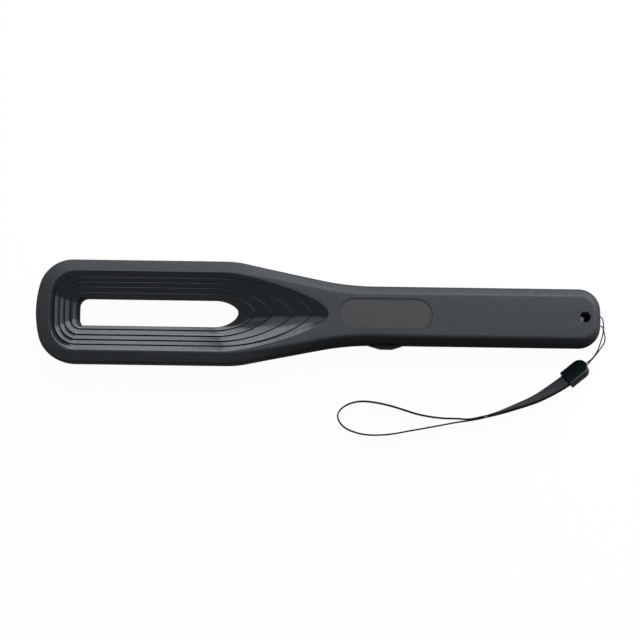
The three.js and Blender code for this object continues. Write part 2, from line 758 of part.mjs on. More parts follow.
function buttonSwitch() {
  const y = -board.halfWidth + sideSwitch.depth / 2;
  const middle = switchBottom() + sideSwitch.height / 2;
  const body = blockAt(
    buttonX, y, sideSwitch.length, sideSwitch.depth, switchBottom(), switchBottom() + sideSwitch.height,
  );
  const plunger = new THREE.CylinderGeometry(
    sideSwitch.plungerRadius, sideSwitch.plungerRadius, sideSwitch.plunger + sideSwitch.depth / 2, 12,
  );
  const plungerY = -board.halfWidth + (sideSwitch.depth / 2 - sideSwitch.plunger) / 2;
  return body.add(solidOf(plunger.translate(buttonX, plungerY, middle)));
}

function slideKnob() {
  const padTop = slider.inset + slider.padHeight;
  const flangeBottom = sliderPocket.depth + sliderPocket.floor + housing.fit;
  return joined(
    blockAt(sliderX, 0, slider.padLength, slider.padWidth, slider.inset, padTop),
    blockAt(sliderX, 0, slider.stemLength, slider.stemWidth, slider.inset, flangeBottom + slider.flangeHeight),
    blockAt(
      sliderX, 0, slider.flangeLength, slider.flangeWidth, flangeBottom, flangeBottom + slider.flangeHeight,
    ),
  );
}

function slideSwitch() {
  const flangeTop = sliderPocket.depth + sliderPocket.floor + housing.fit + slider.flangeHeight;
  return blockAt(
    sliderX, 0, sliderBody.length, sliderBody.width, flangeTop + housing.fit, boardBottom - housing.fit,
  );
}

// The cell lies along X: its profile turns about the wand's middle line
function lithiumCell(grow = 0) {
  const radius = cell.radius + grow;
  const profile = [
    [0, -grow],
    [radius, -grow],
    [radius, cellLength + grow - cell.capHeight],
    [radius - cell.rim, cellLength + grow - cell.capHeight],
    [cell.cap + grow, cellLength + grow - cell.capHeight],
    [cell.cap + grow, cellLength + grow],
    [0, cellLength + grow],
  ].map(([r, h]) => new THREE.Vector2(r, h));
  const shape = new THREE.LatheGeometry(profile, 24);
  return solidOf(shape.rotateZ(-Math.PI / 2).translate(cellX, 0, midHeight));
}

function cellCradle() {
  const bottom = floorHeight + housing.fit;
  const tray = block(
    [cradleStart, -cradle.halfWidth, bottom],
    [cradleEnd, cradle.halfWidth, bottom + cradle.height],
  );
  const bed = new THREE.CylinderGeometry(
    cell.radius + housing.fit, cell.radius + housing.fit, cellLength + 2 * housing.fit, 24,
  );
  return tray.subtract(solidOf(bed.rotateZ(Math.PI / 2).translate(cellX + cellLength / 2, 0, midHeight)));
}

function cellPad() {
  const bottom = midHeight + cell.radius + housing.fit;
  const top = housing.thickness - housing.roof - housing.fit;
  return blockAt(cellX + cellLength / 2, 0, padLengthShare * cellLength, 2 * pad.halfWidth, bottom, top);
}

function chargeBoardPlate() {
  const end = portX + chargePort.depth - housing.wall - housing.fit;
  const plain = block(
    [end - chargeBoard.length, chargeBoard.near, chargeTop - chargeBoard.thickness],
    [end, chargeBoard.far, chargeTop],
  );
  return plain.intersect(turnedOver(roomHalf(housing.fit)));
}

function chargeSocket() {
  const low = [portX, chargePort.offset - chargePort.width / 2, chargePort.lift];
  const high = [
    portX + chargePort.depth, chargePort.offset + chargePort.width / 2, chargePort.lift + chargePort.height,
  ];
  const mouth = block(
    [portX + chargePort.shell * 2, low[1] + chargePort.shell, low[2] + chargePort.shell],
    [high[0] + cutOverrun, high[1] - chargePort.shell, high[2] - chargePort.shell],
  );
  const tongueHalf = chargePort.height / 8;
  const middle = chargePort.lift + chargePort.height / 2;
  const tongue = block(
    [portX, chargePort.offset - chargePort.width / 3, middle - tongueHalf],
    [high[0] - 2 * chargePort.shell, chargePort.offset + chargePort.width / 3, middle + tongueHalf],
  );
  return block(low, high).subtract(mouth).add(tongue);
}

const smooth = (points) =>
  new THREE.CatmullRomCurve3(points.map((point) => new THREE.Vector3(...point)), false, "centripetal");

// Wires: the coil's runs down the neck, the cell's is a short hop, the charger's passes the cell
const leadHeight = boardTop + plug.height / 2;

function coilLead() {
  const from = neckStartX + former.tip + housing.fit;
  const to = boardX + plug.inset - housing.fit;
  const between = coilLeadShares.map((share, i) => [
    lerp(from, to, share), wire.sway * coilLeadSwayShares[i], leadHeight,
  ]);
  const curve = smooth([[from, 0, leadHeight], ...between, [to, 0, leadHeight]]);
  return tube(curve, wire.radius, wire.sides, 16);
}

function cellLead() {
  const from = boardX + board.length - plug.inset + housing.fit;
  const to = cradleStart - housing.fit;
  return tube(
    new THREE.LineCurve3(
      new THREE.Vector3(from, -plug.width, leadHeight),
      new THREE.Vector3(to, -plug.width, leadHeight),
    ),
    wire.radius, wire.sides, 2,
  );
}

function chargeLead() {
  const from = boardX + board.length - plug.inset - plug.length / 2;
  const plugY = plug.width * plugSideShare + housing.fit;
  const end = portX + chargePort.depth - housing.wall - housing.fit - chargeBoard.length;
  const sideY = (cradle.halfWidth + innerY - tabGap(gripEndX) - tab.thickness) / 2;
  const rise = chargeTop - chargeBoard.thickness / 2;
  const run = cellLength / 12;
  const curve = smooth([
    [from, plugY, leadHeight],
    [from + wire.radius / 2, (plugY + sideY) / 2, leadHeight],
    [from + wire.radius * 4, sideY, leadHeight],
    [cellX + cellLength / 2, sideY, leadHeight],
    [end - 2 * run, sideY, leadHeight - wire.radius],
    [end - wire.radius * 2, sideY, rise],
    [end - housing.fit, sideY, rise],
  ]);
  return tube(curve, wire.radius, wire.sides, 24);
}

// The clip's own directions: along it, across it and out of its broad face
const clipTurn = THREE.MathUtils.degToRad(clipPlace.heading);
const clipRoll = THREE.MathUtils.degToRad(clipPlace.roll);
const clipAlong = new THREE.Vector3(Math.cos(clipTurn), Math.sin(clipTurn), 0);
const clipRight = new THREE.Vector3(Math.sin(clipTurn), -Math.cos(clipTurn), 0);
const upward = new THREE.Vector3(0, 0, 1);
const clipAcross = clipRight.clone().multiplyScalar(Math.cos(clipRoll));
clipAcross.addScaledVector(upward, Math.sin(clipRoll));
const clipOut = new THREE.Vector3().crossVectors(clipAlong, clipAcross);
const clipCentre = new THREE.Vector3(clipPlace.x, clipPlace.y, clipPlace.z);

function inClip(along, across, out) {
  const point = clipCentre.clone().addScaledVector(clipAlong, along);
  return point.addScaledVector(clipAcross, across).addScaledVector(clipOut, out).toArray();
}

function strapClip() {
  const half = clip.length / 2;
  const side = clip.width / 2 - clip.bevel;
  const bend = clip.round - clip.bevel;
  const shape = new THREE.Shape();
  shape.moveTo(-half + clip.bevel, -side);
  shape.lineTo(half - clip.round, -side);
  shape.absellipse(half - clip.round, 0, bend, side, -Math.PI / 2, Math.PI / 2, false);
  shape.lineTo(-half + clip.bevel, side);
  const shell = new THREE.ExtrudeGeometry(shape, {
    depth: clip.height - 2 * clip.bevel, curveSegments: 5, bevelEnabled: true,
    bevelThickness: clip.bevel, bevelSize: clip.bevel, bevelSegments: 2,
  });
  shell.translate(0, 0, clip.bevel - clip.height / 2);
  const bore = block(
    [-half - cutOverrun, -clipBore.width / 2, -clipBore.height / 2],
    [half - clipBore.end, clipBore.width / 2, clipBore.height / 2],
  );
  const hole = block(
    [0, -clipBore.slotWidth / 2, -clipBore.slotHeight / 2],
    [half + cutOverrun, clipBore.slotWidth / 2, clipBore.slotHeight / 2],
  );
  const whole = cutBy(solidOf(shell), bore, hole);
  const place = new THREE.Matrix4().makeBasis(clipAlong, clipAcross, clipOut).setPosition(clipCentre);
  return solidOf(geometryOf(whole).applyMatrix4(place));
}

// The string's route, chosen by hand: out of the upper hole, into the clip, and back
const stringInside = [
  [196.5, -1.15, 15], [196.5, -0.3, 15], [196.7, 0.6, 15], [197.3, 1.35, 15], [198.5, 1.65, 15],
];
const stringOut = [
  [200.6, 1.7, 15], [201.6, 0.7, 14.7], [202.5, -2.2, 13.8], [202.9, -5.6, 12.6], [202.8, -9.2, 11.2],
  [202.1, -13, 9.8], [201, -17.4, 8.5], [199.2, -22.2, 7.3], [196.4, -26.6, 6.6],
];
const clipLoop = [
  [9.35, -0.75], [7, -0.75], [5, -1.3], [3.2, -1.9], [1.4, -1.7], [0.6, 0],
  [1.4, 1.7], [3.2, 1.9], [5, 1.3], [7, 0.75], [9.35, 0.75],
];
const stringBack = [
  [196.9, -26.3, 7.8], [199.6, -22.8, 8.6], [202, -19.2, 9.5], [203.6, -16.6, 10.4], [204.1, -14, 11.4],
  [203.8, -11.6, 12.4], [203.1, -9, 13.5], [202.4, -6.8, 14.3], [201.6, -5.4, 14.8], [200.6, -4.9, 15],
];
const stringReturn = [
  [198.5, -4.85, 15], [197.3, -4.55, 15], [196.7, -3.8, 15], [196.5, -2.9, 15], [196.5, -2.05, 15],
];

function strapString() {
  const loop = clipLoop.map(([along, across]) => inClip(along, across, 0));
  const route = [...stringInside, ...stringOut, ...loop, ...stringBack, ...stringReturn];
  return tube(smooth(route), cord.radius, cord.sides, cord.steps);
}

// The webbing's route, chosen by hand: both layers share one line from the clip to where they part
const webbingShared = [
  [168.6, -49.2, 6.3], [155.4, -56.9, 6], [142.2, -62.35, 5.8], [129, -67.2, 5.6], [118, -70.3, 5.4],
  [107.5, -72.4, 5.3],
];
const webbingRollShares = [0.2, 0.5, 0.71, 0.9, 1, 1];
const webbingLoop = [
  [99.9, -71.6, 5.3], [89.3, -71.4, 5.3], [79.9, -70.4, 5.3], [70.6, -68.6, 5.3], [61.2, -65.8, 5.3],
  [51.9, -63.1, 5.3], [43.9, -61.4, 5.3], [35.9, -60.3, 5.3], [29.2, -60.4, 5.3], [22, -62.3, 5.3],
  [16.3, -66.3, 5.3], [14.3, -70.5, 5.3], [15.8, -75.2, 5.3], [20, -79.4, 5.3], [26.8, -82.3, 5.3],
  [34.9, -83.9, 5.3], [44.2, -84, 5.3], [53.5, -83.1, 5.3], [65.5, -80.8, 5.3], [76.1, -78.8, 5.3],
  [89.3, -76.2, 5.3], [99.9, -74.1, 5.3],
];

// One layer of the shared stretch, moved off its line by half the layers' spacing
function webbingLayer(side) {
  const line = [inClip(-clip.length / 2 + webbing.insert, 0, 0), inClip(-clip.length / 2, 0, 0), ...webbingShared];
  const shares = [0, 0, ...webbingRollShares];
  return line.map((point, i) => {
    const [before, after] = [line[Math.max(i - 1, 0)], line[Math.min(i + 1, line.length - 1)]];
    const roll = lerp(clipRoll, Math.PI / 2, shares[i]);
    const along = new THREE.Vector3(before[0] - after[0], before[1] - after[1], 0).normalize();
    const across = new THREE.Vector3(along.y, -along.x, 0).multiplyScalar(Math.cos(roll));
    across.addScaledVector(upward, Math.sin(roll));
    const out = new THREE.Vector3().crossVectors(along, across);
    const place = new THREE.Vector3(...point).addScaledVector(out, (side * webbing.layers) / 2);
    return { place: place.toArray(), across };
  });
}

// A flat strip of even thickness along a route, turned so that its width follows given directions
function strip(knots, width, thickness, steps) {
  const curve = smooth(knots.map((knot) => knot.place));
  const rows = [];
  for (let i = 0; i <= steps; i++) {
    const t = i / steps;
    const middle = curve.getPoint(t);
    const along = curve.getTangent(t);
    const spot = t * (knots.length - 1);
    const near = Math.min(Math.floor(spot), knots.length - 2);
    const across = knots[near].across.clone().lerp(knots[near + 1].across, spot - near);
    across.addScaledVector(along, -along.dot(across)).normalize();
    const out = new THREE.Vector3().crossVectors(along, across);
    const corner = (a, b) =>
      middle.clone().addScaledVector(across, (a * width) / 2).addScaledVector(out, (b * thickness) / 2);
    rows.push([corner(1, 1), corner(1, -1), corner(-1, -1), corner(-1, 1)]);
  }
  const index = [0, 1, 2, 0, 2, 3];
  for (let i = 0; i < steps; i++) {
    for (let k = 0; k < 4; k++) {
      const [a, b] = [i * 4 + k, i * 4 + ((k + 1) % 4)];
      index.push(a, a + 4, b, b, a + 4, b + 4);
    }
  }
  const last = steps * 4;
  index.push(last, last + 2, last + 1, last, last + 3, last + 2);
  const geometry = new THREE.BufferGeometry();
  const points = rows.flat().flatMap((point) => point.toArray());
  geometry.setAttribute("position", new THREE.BufferAttribute(new Float32Array(points), 3));
  geometry.setIndex(index);
  return solidOf(geometry);
}

function strapWebbing() {
  const loop = webbingLoop.map((place) => ({ place, across: upward }));
  const knots = [...webbingLayer(-1), ...loop, ...webbingLayer(1).reverse()];
  return strip(knots, webbing.width, webbing.thickness, webbing.steps);
}

// Materials
const finish = (color, roughness, metalness = 0) =>
  new THREE.MeshStandardMaterial({ color, roughness, metalness, flatShading: true });

const wandGroup = new THREE.Group();

function place(name, solid, material) {
  const mesh = new THREE.Mesh(geometryOf(solid), material);
  mesh.name = name;
  wandGroup.add(mesh);
}

place("rear_cover", rearCover(), finish(0x45494d, 0.62));
place("front_cover", frontCover(), finish(0x45494d, 0.62));
place("nameplate", label(), finish(0x4a4d50, 0.45));
place("housing_screw", screw(wellX, 0, wellFloor + housing.fit, caseScrew), finish(0x9a9a98, 0.35, 1));
place("coil_former", coilFormer(), finish(0xd9d6cc, 0.6));
place("search_coil", searchCoil(), finish(0xa5602c, 0.35, 0.6));
place("circuit_board", circuitBoard(), finish(0x1f5a34, 0.5));
screwPlaces.forEach(([x, y], i) => {
  place(`board_screw_${i + 1}`, screw(x, y, boardTop + housing.fit, boardScrew, 10), finish(0xb5b5b0, 0.35, 1));
});
["power_lamp", "alarm_lamp", "battery_lamp"].forEach((name, i) => {
  place(name, statusLamp(lampPlaces[i]), finish([0x3fae5a, 0xc03028, 0xd9a520][i], 0.2));
});
place("buzzer", buzzerCan(), finish(0x202020, 0.5));
place("vibration_motor", vibrationMotor(), finish(0xb8b8b4, 0.3, 1));
place("side_button", sideButton(), finish(0x2b2e31, 0.55));
place("button_switch", buttonSwitch(), finish(0x2a2a2a, 0.5));
place("slide_knob", slideKnob(), finish(0x26282a, 0.5));
place("slide_switch", slideSwitch(), finish(0xb0b0ac, 0.35, 0.8));
place("lithium_cell", lithiumCell(), finish(0x2f6f9f, 0.4));
place("cell_cradle", cellCradle(), finish(0x303234, 0.6));
place("cell_pad", cellPad(), finish(0x50504c, 0.95));
place("charge_board", chargeBoardPlate(), finish(0x1f5a34, 0.5));
place("charge_socket", chargeSocket(), finish(0xb8bbbd, 0.3, 1));
place("coil_lead", coilLead(), finish(0x303030, 0.5));
place("cell_lead", cellLead(), finish(0x8a2420, 0.5));
place("charge_lead", chargeLead(), finish(0x8a2420, 0.5));
place("strap_clip", strapClip(), finish(0x16181a, 0.3));
place("strap_string", strapString(), finish(0x1c1d1f, 0.8));
place("strap_webbing", strapWebbing(), finish(0x35373b, 0.9));

export default wandGroup;
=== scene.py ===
"""Looks for a hand-held security metal detector wand that lies on its front face.

Lengths are in millimetres until a mesh or a place is made, which turns them into metres.
"""

from math import asin, atan, copysign, cos, dist, pi, radians, sin, sqrt, tan

import bpy
from mathutils import Matrix, Vector


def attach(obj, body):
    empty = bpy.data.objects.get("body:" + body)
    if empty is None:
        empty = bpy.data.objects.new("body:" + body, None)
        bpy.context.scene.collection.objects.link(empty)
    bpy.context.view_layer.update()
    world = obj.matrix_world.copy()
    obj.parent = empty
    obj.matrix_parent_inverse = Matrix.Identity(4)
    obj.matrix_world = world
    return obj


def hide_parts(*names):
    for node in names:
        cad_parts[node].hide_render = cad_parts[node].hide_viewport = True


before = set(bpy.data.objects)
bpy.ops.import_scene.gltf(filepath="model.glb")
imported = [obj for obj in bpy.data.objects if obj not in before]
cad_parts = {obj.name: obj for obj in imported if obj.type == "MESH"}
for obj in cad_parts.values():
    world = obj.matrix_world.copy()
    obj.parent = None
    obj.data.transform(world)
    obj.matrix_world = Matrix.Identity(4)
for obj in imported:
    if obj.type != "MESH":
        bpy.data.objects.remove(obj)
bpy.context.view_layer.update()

MM = 0.001

# The photograph: its side in pixels and a pixel's size, then the camera's place, aim, roll, sensor and range (in m)
PHOTO_PIXELS = 640
PIXEL = 0.7112
CAMERA = (0.8, -113.3, 1150.0)
AIM = (0.8, -3.2, 15.0)
ROLL = radians(0.8)
SENSOR = 36.0
CAMERA_RANGE = (0.01, 20.0)

# Housing
THICKNESS, WALL, ROOF, SEAM, FIT = 30.0, 2.4, 2.6, 0.3, 0.3
HEAD_LENGTH, NECK_LENGTH, GRIP_LENGTH = 142.1, 78.3, 179.6
HEAD_HALF, GRIP_HALF = 36.8, 21.2
HEAD_CORNER, GRIP_CORNER = 24.5, 15.5
HEAD_BOW, GRIP_BOW, BAND_BOW = 74.0, 86.0, 260.0
START_BLEND, END_BLEND = 73.0, 190.0
HEAD_EDGE, HEAD_END_EDGE, NECK_EDGE, GRIP_EDGE = 8.3, 10.0, 6.8, 6.3
# Sizes at the head and at the grip
EDGE_DROP, SIDE_SWELL = (4.0, 6.0), (0.35, 2.3)
CREST_ROUND, SHOULDER_ROUND = (0.45, 1.3), (1.7, 3.8)
SWELL_POWER = 2.1
HEAD_END = -(HEAD_LENGTH + NECK_LENGTH + GRIP_LENGTH) / 2
NECK_START = HEAD_END + HEAD_LENGTH
GRIP_START = NECK_START + NECK_LENGTH
GRIP_END = GRIP_START + GRIP_LENGTH
MID = THICKNESS / 2
PARTING = MID + SEAM / 2

# Recess and slot: half width, margin from the head's end, corner, lead and tip from the neck, and the nose's shares
RECESS = (27.8, 10.8, 18.5, 9.6, 64.4, (0.2, 0.44))
SLOT = (10.4, 28.7, 6.0, 16.4, 1.0, (0.55, 0.49))
DISH_DEPTH = 3.9
LIP_RISE, LIP_WIDTH = 0.75, 0.55
# Each lip's share of the way from slot to recess at the side, end and tip, of the recess's depth, and its nose
LIPS = (
    (0.764, 0.825, 0.808, 0.218, (0.5, 0.29)),
    (0.568, 0.623, 0.596, 0.385, (0.5, 0.3)),
    (0.366, 0.421, 0.371, 0.551, (0.5, 0.33)),
    (0.138, 0.213, 0.188, 0.718, (0.5, 0.45)),
)

# Points per stretch of half an outline
STEPS = {"end": 8, "corner": 18, "side": 6, "start": 8, "slant": 14, "blend": 10, "grip": 16, "butt": 16, "tail": 6}
START_SHARE, NOSE_SHARE = 0.195, 0.777

# Edge rounding
EDGE_ROUND_STEPS = 4
SEAM_BEVEL = 0.25

# Label, screw well, button, slide switch, lamps, grille and charging port
LABEL_START, LABEL_LENGTH, LABEL_HALF, LABEL_DEPTH, LABEL_PLATE = -6.3, 65.6, 11.1, 1.0, 0.45
WELL_FROM_END, WELL_RADIUS, WELL_WALL, WELL_DEPTH, WELL_SEAT = 12.9, 3.7, 1.6, 16.0, 2.2
SCREW_RADIUS, SCREW_HEAD, SCREW_HEIGHT, SCREW_LENGTH = 1.5, 2.9, 2.2, 9.5
BUTTON_CENTRE, BUTTON_BASE, BUTTON_TOP, BUTTON_SHIFT = 27.0, 24.7, 8.4, 0.6
BUTTON_PROUD, BUTTON_HEIGHT, BUTTON_FLANGE, BUTTON_LIP = 2.4, 9.0, 1.3, 1.7
SLIDER_CENTRE, PAD_LENGTH, PAD_WIDTH, PAD_HEIGHT, PAD_INSET = 45.6, 8.0, 6.0, 1.1, 0.4
SLIDER_TRAVEL, STEM_LENGTH, STEM_WIDTH = 2.0, 3.0, 2.4
POCKET_DEPTH, POCKET_FLOOR, POCKET_MARGIN, POCKET_PAD = 1.8, 1.8, 0.4, 1.6
LAMP_COUNT, LAMP_FIRST, LAMP_PITCH, LAMP_RADIUS, LAMP_INSET = 3, 13.6, 8.0, 2.5, 0.6
BUZZER_CENTRE, GRILLE_SLOTS, GRILLE_WIDTH, GRILLE_PITCH, GRILLE_REACH = 67.6, 5, 1.2, 2.4, 6.0
PORT_OFFSET, PORT_WIDTH, PORT_HEIGHT, PORT_DEPTH, PORT_LIFT, PORT_BACK = 8.6, 9.0, 3.2, 6.7, 8.2, 3.2
EYELET_OFFSET, EYELET_SPACING, EYELET_WIDTH, EYELET_HEIGHT = -1.6, 6.5, 2.6, 3.0
OVERRUN = 2.0
INNER = GRIP_HALF - WALL

# Clip and webbing
CLIP_LENGTH, CLIP_WIDTH, CLIP_HEIGHT, CLIP_BEVEL, CLIP_ROUND = 18.7, 12.6, 7.0, 0.5, 5.9
CLIP_PLACE, CLIP_HEADING, CLIP_ROLL = (184.4, -37.4, 6.5), radians(39.3), radians(35)
BORE_WIDTH, BORE_HEIGHT, BORE_END, HOLE_WIDTH, HOLE_HEIGHT = 10.8, 3.5, 3.8, 3.4, 1.8
WEB_WIDTH, WEB_THICKNESS, WEB_LAYERS, WEB_INSERT = 10.0, 1.0, 1.1, 5.8
STRING_RADIUS = 0.45


# Curves and loops


def smoothstep(x, start, end):
    t = min(max((x - start) / (end - start), 0.0), 1.0)
    return t * t * (3 - 2 * t)


def mix(a, b, share):
    return a + (b - a) * share


def ramp(start, end, steps):
    """Evenly spaced numbers after the first one."""
    return [mix(start, end, (i + 1) / steps) for i in range(steps)]


def arc(x, y, radius, start, end, steps):
    """Points of an arc after its first one."""
    return [(x + radius * cos(t), y + radius * sin(t)) for t in ramp(start, end, steps)]


def spread(start, end, steps):
    """Evenly spaced points after the first one."""
    return list(zip(ramp(start[0], end[0], steps), ramp(start[1], end[1], steps)))


def bowed_end(end_x, half, corner, bow, end_steps, corner_steps):
    """The bowed end and rounded corner of an outline, from its middle to the end of the corner."""
    drop = half - corner
    bow_x = end_x + bow
    corner_x = bow_x - sqrt((bow - corner) ** 2 - drop**2)
    meet = pi - asin(drop / (bow - corner))
    points = [(end_x, 0.0)]
    points += arc(bow_x, 0, bow, pi, meet, end_steps)
    points += arc(corner_x, drop, corner, meet, pi / 2, corner_steps)
    return points


def housing_half(inset):
    """Half the housing's outline, inset everywhere by the same amount."""
    slope = atan((HEAD_HALF - GRIP_HALF) / NECK_LENGTH)
    shift = inset * tan(slope / 2)
    head_y, grip_y = HEAD_HALF - inset, GRIP_HALF - inset
    start_blend, end_blend = START_BLEND - inset, END_BLEND + inset
    start_x = NECK_START - shift - start_blend * tan(slope / 2)
    end_x = GRIP_START - shift + end_blend * tan(slope / 2)
    end = bowed_end(
        HEAD_END + inset, head_y, HEAD_CORNER - inset, HEAD_BOW - inset, STEPS["end"], STEPS["corner"]
    )
    butt = bowed_end(
        -GRIP_END + inset, grip_y, GRIP_CORNER - inset, GRIP_BOW - inset, STEPS["tail"], STEPS["butt"]
    )
    butt = [(-x, y) for x, y in reversed(butt)]
    upright = pi / 2
    start = arc(start_x, head_y - start_blend, start_blend, upright, upright - slope, STEPS["start"])
    blend = arc(end_x, grip_y + end_blend, end_blend, -upright - slope, -upright, STEPS["blend"])
    slant_end = (end_x - end_blend * sin(slope), grip_y + end_blend * (1 - cos(slope)))
    points = end + spread(end[-1], (start_x, head_y), STEPS["side"]) + start
    points += spread(start[-1], slant_end, STEPS["slant"]) + blend
    points += spread((end_x, grip_y), butt[0], STEPS["grip"]) + butt[1:]
    return points


NOSE_STEPS = STEPS["blend"] + STEPS["grip"] + STEPS["butt"] + STEPS["tail"]
HALVINGS = 40


def nose(start_x, half, tip_x, shares):
    """The rest of a band's half outline: from its side to a tip on the axis, as one Bezier curve."""
    lead, fullness = shares

    def at(t):
        a, b, c, d = (1 - t) ** 3, 3 * t * (1 - t) ** 2, 3 * t * t * (1 - t), t**3
        x = start_x * a + mix(start_x, tip_x, lead) * b + tip_x * (c + d)
        return x, half * (a + b + fullness * c)

    def where(x):
        low, high = 0.0, 1.0
        for _ in range(HALVINGS):
            middle = (low + high) / 2
            low, high = (middle, high) if at(middle)[0] < x else (low, middle)
        return low

    places = ramp(0, START_SHARE, STEPS["start"]) + ramp(START_SHARE, NOSE_SHARE, STEPS["slant"])
    times = [where(mix(start_x, tip_x, share)) for share in places]
    return [at(t) for t in times + ramp(times[-1], 1.0, NOSE_STEPS)]


def whole_loop(half, heights):
    """A half outline with its mirror image as one loop, and both of its ends on the axis."""
    half = [(half[0][0], 0.0), *half[1:-1], (half[-1][0], 0.0)]
    upper = [(x, y, z) for (x, y), z in zip(half, heights)]
    return upper + [(x, -y, z) for x, y, z in reversed(upper[1:-1])]


STATIONS = [x for x, _ in housing_half(0.0)]


def band_loop(band, grow, height):
    """A loop along a band round the slot, grown outwards by some amount."""
    half, margin, corner, lead, tip, shares = band
    half += grow
    end_x, start_x, tip_x = HEAD_END + margin - grow, NECK_START - lead, NECK_START + tip + grow
    points = bowed_end(end_x, half, corner + grow, BAND_BOW, STEPS["end"], STEPS["corner"])
    points += spread(points[-1], (start_x, half), STEPS["side"]) + nose(start_x, half, tip_x, shares)
    return whole_loop(points, [height] * len(points))


def housing_loop(places):
    """A loop round the housing from an (inset, height) pair at each station."""
    half = [housing_half(inset)[i] for i, (inset, _) in enumerate(places)]
    return whole_loop(half, [height for _, height in places])


def edge_width(x):
    at_end = 1 - smoothstep(x, HEAD_END, HEAD_END + HEAD_CORNER)
    at_neck = smoothstep(x, NECK_START - HEAD_CORNER / 2, NECK_START + NECK_LENGTH / 2)
    at_grip = smoothstep(x, GRIP_START - NECK_LENGTH / 4, GRIP_START + NECK_LENGTH)
    width = HEAD_EDGE + (HEAD_END_EDGE - HEAD_EDGE) * at_end
    return width + (NECK_EDGE - HEAD_EDGE) * at_neck + (GRIP_EDGE - NECK_EDGE) * at_grip


def blended(sizes, x):
    """A size that changes along the neck, from the head's to the grip's."""
    return mix(*sizes, smoothstep(x, NECK_START - GRIP_CORNER, GRIP_START - GRIP_CORNER))


CORNER_LIMIT = 0.48


def cut_corner(before, corner, after, reach):
    """Points that round a profile's corner, reaching that far along both of its sides."""

    def toward(end):
        gap = dist(corner, end)
        share = min(reach, gap * CORNER_LIMIT) / gap
        return mix(corner[0], end[0], share), mix(corner[1], end[1], share)

    first, last = toward(before), toward(after)
    points = []
    for i in range(EDGE_ROUND_STEPS + 1):
        t = i / EDGE_ROUND_STEPS
        a, b, c = (1 - t) ** 2, 2 * t * (1 - t), t * t
        points.append(tuple(first[k] * a + corner[k] * b + last[k] * c for k in (0, 1)))
    return points


SWELL_HEIGHT_SHARES = (0.12, 0.25, 0.38, 0.5, 0.62, 0.72)


def edge_profile(x):
    """(inset, height) pairs of the housing's side and bevel at one place along the wand."""
    top_z = THICKNESS - blended(EDGE_DROP, x)
    swell, rise = blended(SIDE_SWELL, x), top_z - PARTING
    side = [(swell * s**SWELL_POWER, PARTING + rise * s) for s in SWELL_HEIGHT_SHARES]
    low, crest, land = (swell, top_z), (edge_width(x), THICKNESS), (GRIP_HALF, THICKNESS)
    points = [(SEAM_BEVEL, PARTING), (0.0, PARTING + SEAM_BEVEL)] + side
    points += cut_corner(side[-1], low, crest, blended(SHOULDER_ROUND, x))
    points += cut_corner(low, crest, land, blended(CREST_ROUND, x))
    return points


def side_loops():
    return [housing_loop(places) for places in zip(*(edge_profile(x) for x in STATIONS))]


def lip_band(side, end, tip, shares):
    sizes = zip(SLOT, RECESS, (side, end, side, side, tip))
    return tuple(mix(slot, recess, share) for slot, recess, share in sizes) + (shares,)


# Rounded edges as (grow, drop) pairs: the recess's rim, a lip's foot and crest, and the slot's rim
RIM_ROUND = ((0.3, 0.0), (0.08, 0.02), (-0.2, 0.1))
LIP_ROUND = (
    (LIP_WIDTH, LIP_RISE), (0.26, 0.28), (0.19, 0.185), (0.09, 0.1),
    (0.03, 0.06), (-0.05, 0.035), (-0.13, 0.035), (-0.27, 0.07),
)
SLOT_ROUND = ((0.4, -0.2), (0.16, -0.06), (0.04, 0.08), (0.0, 0.3))


def dish_loops():
    loops = [band_loop(RECESS, grow, THICKNESS - drop) for grow, drop in RIM_ROUND]
    for side, end, tip, depth, shares in LIPS:
        lip, top = lip_band(side, end, tip, shares), THICKNESS - DISH_DEPTH * depth
        loops += [band_loop(lip, grow, top - drop) for grow, drop in LIP_ROUND]
    rim = THICKNESS - DISH_DEPTH
    loops += [band_loop(SLOT, grow, rim - drop) for grow, drop in SLOT_ROUND]
    return loops + [band_loop(SLOT, 0.0, PARTING + SEAM_BEVEL), band_loop(SLOT, SEAM_BEVEL, PARTING)]


def room_loops():
    """The inside of a cover, from the slot's wall over the ceiling and down the side."""
    ceiling = THICKNESS - ROOF

    def slope(x):
        return atan(blended(EDGE_DROP, x) / (edge_width(x) - blended(SIDE_SWELL, x)))

    def shoulder(x):
        return THICKNESS - blended(EDGE_DROP, x) + WALL * tan(slope(x)) - WALL / cos(slope(x))

    return [
        band_loop(SLOT, WALL, PARTING),
        band_loop(SLOT, WALL, THICKNESS - DISH_DEPTH - ROOF),
        band_loop(RECESS, 0.0, ceiling),
        housing_loop([(edge_width(x) + WALL * tan(slope(x) / 2), ceiling) for x in STATIONS]),
        housing_loop([(blended(SIDE_SWELL, x) + WALL, shoulder(x)) for x in STATIONS]),
        housing_loop([(WALL, PARTING)] * len(STATIONS)),
    ]


# Meshes


def new_object(name, data):
    piece = bpy.data.objects.new(name, data)
    bpy.context.scene.collection.objects.link(piece)
    return piece


def mesh_object(name, points, faces):
    """A mesh object in metres from millimetre points, with its faces turned outwards."""
    mesh = bpy.data.meshes.new(name)
    mesh.from_pydata([[c * MM for c in point] for point in points], [], faces)
    mesh.validate()
    mesh.update()
    volume = 0.0
    for face in mesh.polygons:
        first, *corners = (mesh.vertices[i].co for i in face.vertices)
        for b, c in zip(corners, corners[1:]):
            volume += first.dot(b.cross(c))
    if volume < 0:
        mesh.flip_normals()
    return new_object(name, mesh)


